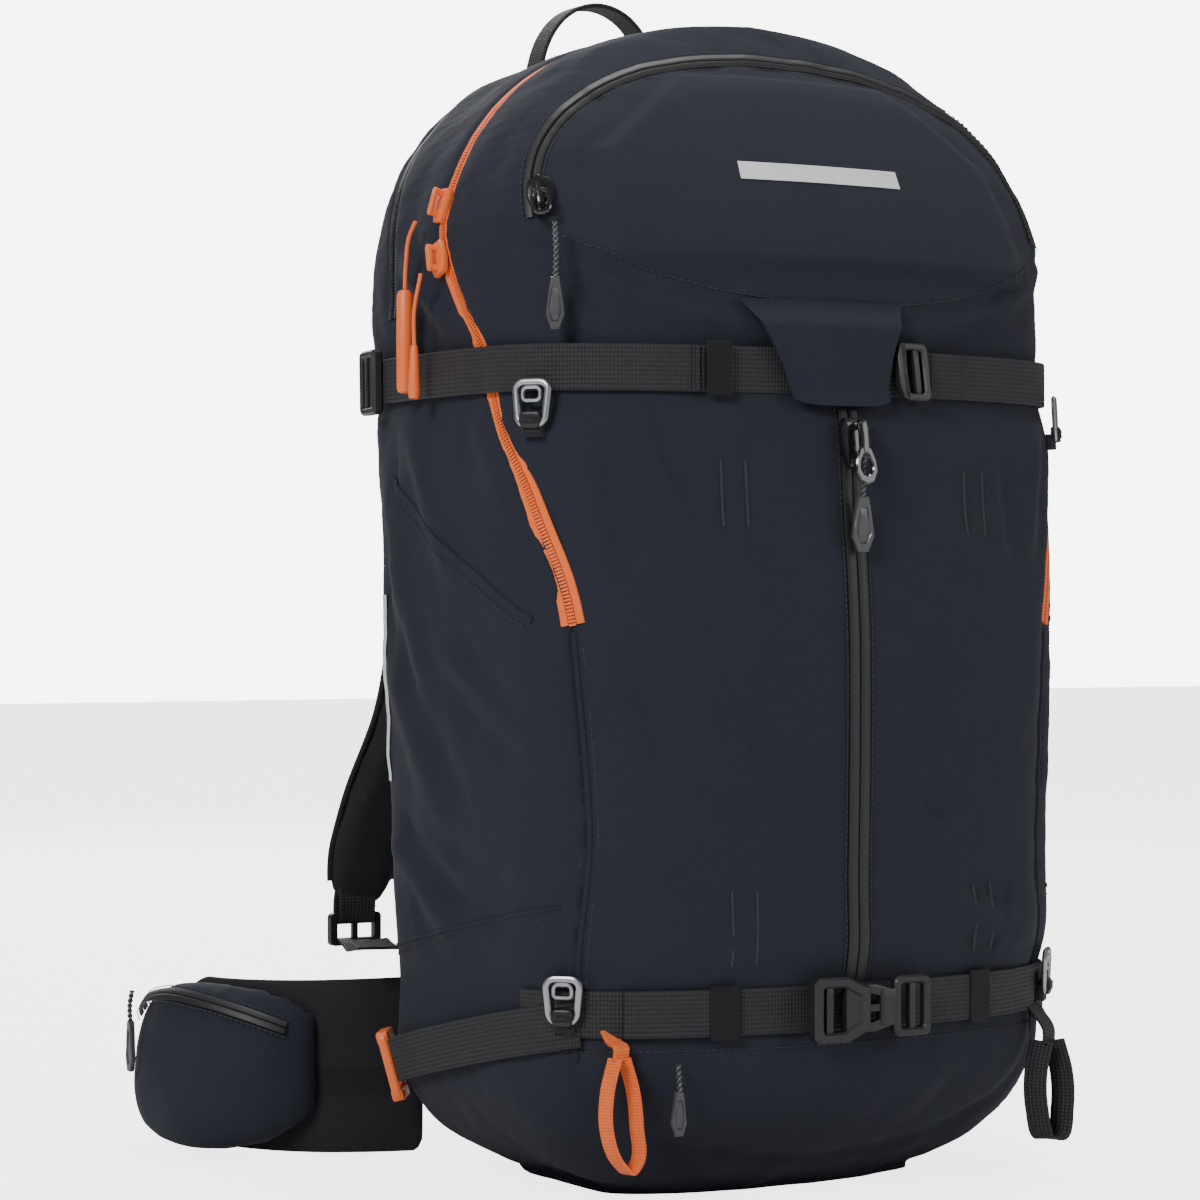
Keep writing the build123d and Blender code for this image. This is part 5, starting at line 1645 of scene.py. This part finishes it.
def make_stage(look):
    """A pale floor, an even room light, four lamps and the camera."""
    plane = bpy.data.meshes.new("floor")
    plane.from_pydata([(-9, -9, 0), (9, -9, 0), (9, 9, 0), (-9, 9, 0)], [], [(0, 1, 2, 3)])
    floor = bpy.data.objects.new("floor", plane)
    bpy.context.scene.collection.objects.link(floor)
    material, tree, shader = start_material("Pale floor")
    place = tree.nodes.new("ShaderNodeTexCoord").outputs["Object"]
    tree.links.new(colour_between(tree, noise(tree, place, 3.0), (0.86, 0.86, 0.87), (0.9, 0.9, 0.9)),
                   shader.inputs["Base Color"])
    shader.inputs["Roughness"].default_value = 0.9
    shader.inputs["Emission Color"].default_value = (1, 1, 1, 1)
    rays = tree.nodes.new("ShaderNodeLightPath")
    tree.links.new(math_node(tree, "MULTIPLY", rays.outputs["Is Camera Ray"], 3.2),
                   shader.inputs["Emission Strength"])
    plane.materials.append(material)
    world = bpy.data.worlds.new("Studio")
    world.use_nodes = True
    tree = world.node_tree
    tree.nodes["Background"].inputs[0].default_value = (0.96, 0.97, 1.0, 1)
    rays = tree.nodes.new("ShaderNodeLightPath")
    power = tree.nodes.new("ShaderNodeMix")
    power.inputs[2].default_value = look.room_light
    power.inputs[3].default_value = 7.0
    tree.links.new(rays.outputs["Is Camera Ray"], power.inputs[0])
    tree.links.new(power.outputs[0], tree.nodes["Background"].inputs[1])
    bpy.context.scene.world = world
    for name, place, size, power in (("key", (-2.7, -1.5, 2.0), 1.0, 105),
                                     ("fill", (1.9, -2.4, 1.3), 1.6, 34),
                                     ("top", (0.3, 0.2, 2.8), 1.2, 60), ("back", (0.6, 2.8, 1.6), 1.6, 60)):
        data = bpy.data.lights.new(name, "AREA")
        data.shape = "SQUARE"
        data.size = size
        data.energy = power * look.lamp_share
        lamp = bpy.data.objects.new(name, data)
        lamp.location = place
        aim = np.array([0, 0, 0.35]) - np.array(place)
        tip = math.acos(-aim[2] / np.linalg.norm(aim))
        lamp.rotation_euler = (tip, 0, math.atan2(aim[1], aim[0]) - math.pi / 2)
        bpy.context.scene.collection.objects.link(lamp)
    yaw = math.radians(32)
    eye = (-2.06 * math.sin(yaw), -2.06 * math.cos(yaw), 0.327)
    aim = (-0.075 * math.cos(yaw), 0.075 * math.sin(yaw))
    heading = math.atan2(aim[1] - eye[1], aim[0] - eye[0])
    data = bpy.data.cameras.new("camera")
    data.lens, data.sensor_width = 108.0, 36.0
    camera = bpy.data.objects.new("camera", data)
    camera.location = eye
    camera.rotation_euler = (math.pi / 2, 0, heading - math.pi / 2)
    bpy.context.scene.collection.objects.link(camera)
    bpy.context.scene.camera = camera


# ---------------------------------------------------------------- add-on classes
class BackpackLook(bpy.types.PropertyGroup):
    shell_colour: bpy.props.FloatVectorProperty(
        name="Shell colour", description="Colour of the shell cloth", subtype="COLOR", size=4,
        default=(0.019, 0.021, 0.031, 1.0), min=0, max=1)
    accent_colour: bpy.props.FloatVectorProperty(
        name="Accent colour", description="Colour of the main zip, pulls and axe loop", subtype="COLOR",
        size=4,
        default=(1.0, 0.19, 0.04, 1.0), min=0, max=1)
    room_light: bpy.props.FloatProperty(
        name="Room light", description="Strength of the even light all round", default=0.22, min=0)
    lamp_share: bpy.props.FloatProperty(
        name="Lamp share", description="Scales the studio lamps", default=0.72, min=0)


def look():
    """The add-on settings of this scene."""
    return bpy.context.scene.backpack_look


class BACKPACK_OT_finishes(bpy.types.Operator):
    """Makes the cloth, webbing, plastic and metal materials"""
    bl_idname = "backpack.finishes"
    bl_label = "Finishes"

    def execute(self, context):
        make_finishes(look())
        return {"FINISHED"}


class BACKPACK_OT_bag(bpy.types.Operator):
    """Builds the shell, front panel and base with their seams and prints"""
    bl_idname = "backpack.bag"
    bl_label = "Bag"

    def execute(self, context):
        make_walls()
        make_base()
        seam_stitching()
        side_details()
        stitched_slits()
        print_bars()
        return {"FINISHED"}


class BACKPACK_OT_zips(bpy.types.Operator):
    """Builds the four zips, their sliders and their pulls"""
    bl_idname = "backpack.zips"
    bl_label = "Zips"

    def execute(self, context):
        make_zip_pieces()
        make_slider_pieces()
        make_pull_pieces()
        return {"FINISHED"}


class BACKPACK_OT_straps(bpy.types.Operator):
    """Builds the compression straps with their buckles, keepers and cover"""
    bl_idname = "backpack.straps"
    bl_label = "Straps"

    def execute(self, context):
        make_upper_strap()
        make_lower_strap()
        make_lower_buckle()
        make_upper_buckles()
        make_cover_flap()
        return {"FINISHED"}


class BACKPACK_OT_hooks(bpy.types.Operator):
    """Builds the hooks and the webbing loops"""
    bl_idname = "backpack.hooks"
    bl_label = "Hooks and loops"

    def execute(self, context):
        make_hook_pieces()
        make_loop_pieces()
        return {"FINISHED"}


class BACKPACK_OT_harness(bpy.types.Operator):
    """Builds the back pads, shoulder pads and their webbing"""
    bl_idname = "backpack.harness"
    bl_label = "Harness"

    def execute(self, context):
        make_back_pieces()
        make_shoulder_pieces()
        make_harness_webbing()
        make_chest_pieces()
        make_waist_webbing()
        return {"FINISHED"}


class BACKPACK_OT_belt(bpy.types.Operator):
    """Builds the hip fins and their pockets"""
    bl_idname = "backpack.belt"
    bl_label = "Hip belt"

    def execute(self, context):
        make_hip_pieces()
        return {"FINISHED"}


class BACKPACK_OT_frame_nodes(bpy.types.Operator):
    """Gives every part that comes from the frame its finish"""
    bl_idname = "backpack.frame_nodes"
    bl_label = "Frame parts"

    def execute(self, context):
        dress_frame_nodes()
        return {"FINISHED"}


class BACKPACK_OT_stage(bpy.types.Operator):
    """Builds the floor, the lights and the camera"""
    bl_idname = "backpack.stage"
    bl_label = "Stage"

    def execute(self, context):
        make_stage(look())
        return {"FINISHED"}


STEPS = (BACKPACK_OT_finishes, BACKPACK_OT_bag, BACKPACK_OT_zips, BACKPACK_OT_straps, BACKPACK_OT_hooks,
         BACKPACK_OT_harness, BACKPACK_OT_belt, BACKPACK_OT_frame_nodes, BACKPACK_OT_stage)


class BACKPACK_PT_panel(bpy.types.Panel):
    """Lists the colours and the building steps"""
    bl_idname = "BACKPACK_PT_panel"
    bl_label = "Airbag Backpack"
    bl_space_type = "VIEW_3D"
    bl_region_type = "UI"
    bl_category = "Backpack"

    def draw(self, context):
        for field in ("shell_colour", "accent_colour", "room_light", "lamp_share"):
            self.layout.prop(context.scene.backpack_look, field)
        for operator in STEPS:
            self.layout.operator(operator.bl_idname)


def register():
    """Adds the settings, the steps and the panel."""
    for item in (BackpackLook, *STEPS, BACKPACK_PT_panel):
        bpy.utils.register_class(item)
    bpy.types.Scene.backpack_look = bpy.props.PointerProperty(type=BackpackLook)


def unregister():
    """Takes the add-on classes away again."""
    del bpy.types.Scene.backpack_look
    for item in (BACKPACK_PT_panel, *reversed(STEPS), BackpackLook):
        bpy.utils.unregister_class(item)


def main():
    """Runs every step."""
    register()
    bpy.ops.backpack.finishes()
    bpy.ops.backpack.bag()
    bpy.ops.backpack.zips()
    bpy.ops.backpack.straps()
    bpy.ops.backpack.hooks()
    bpy.ops.backpack.harness()
    bpy.ops.backpack.belt()
    bpy.ops.backpack.frame_nodes()
    bpy.ops.backpack.stage()


if __name__ == "__main__":
    main()
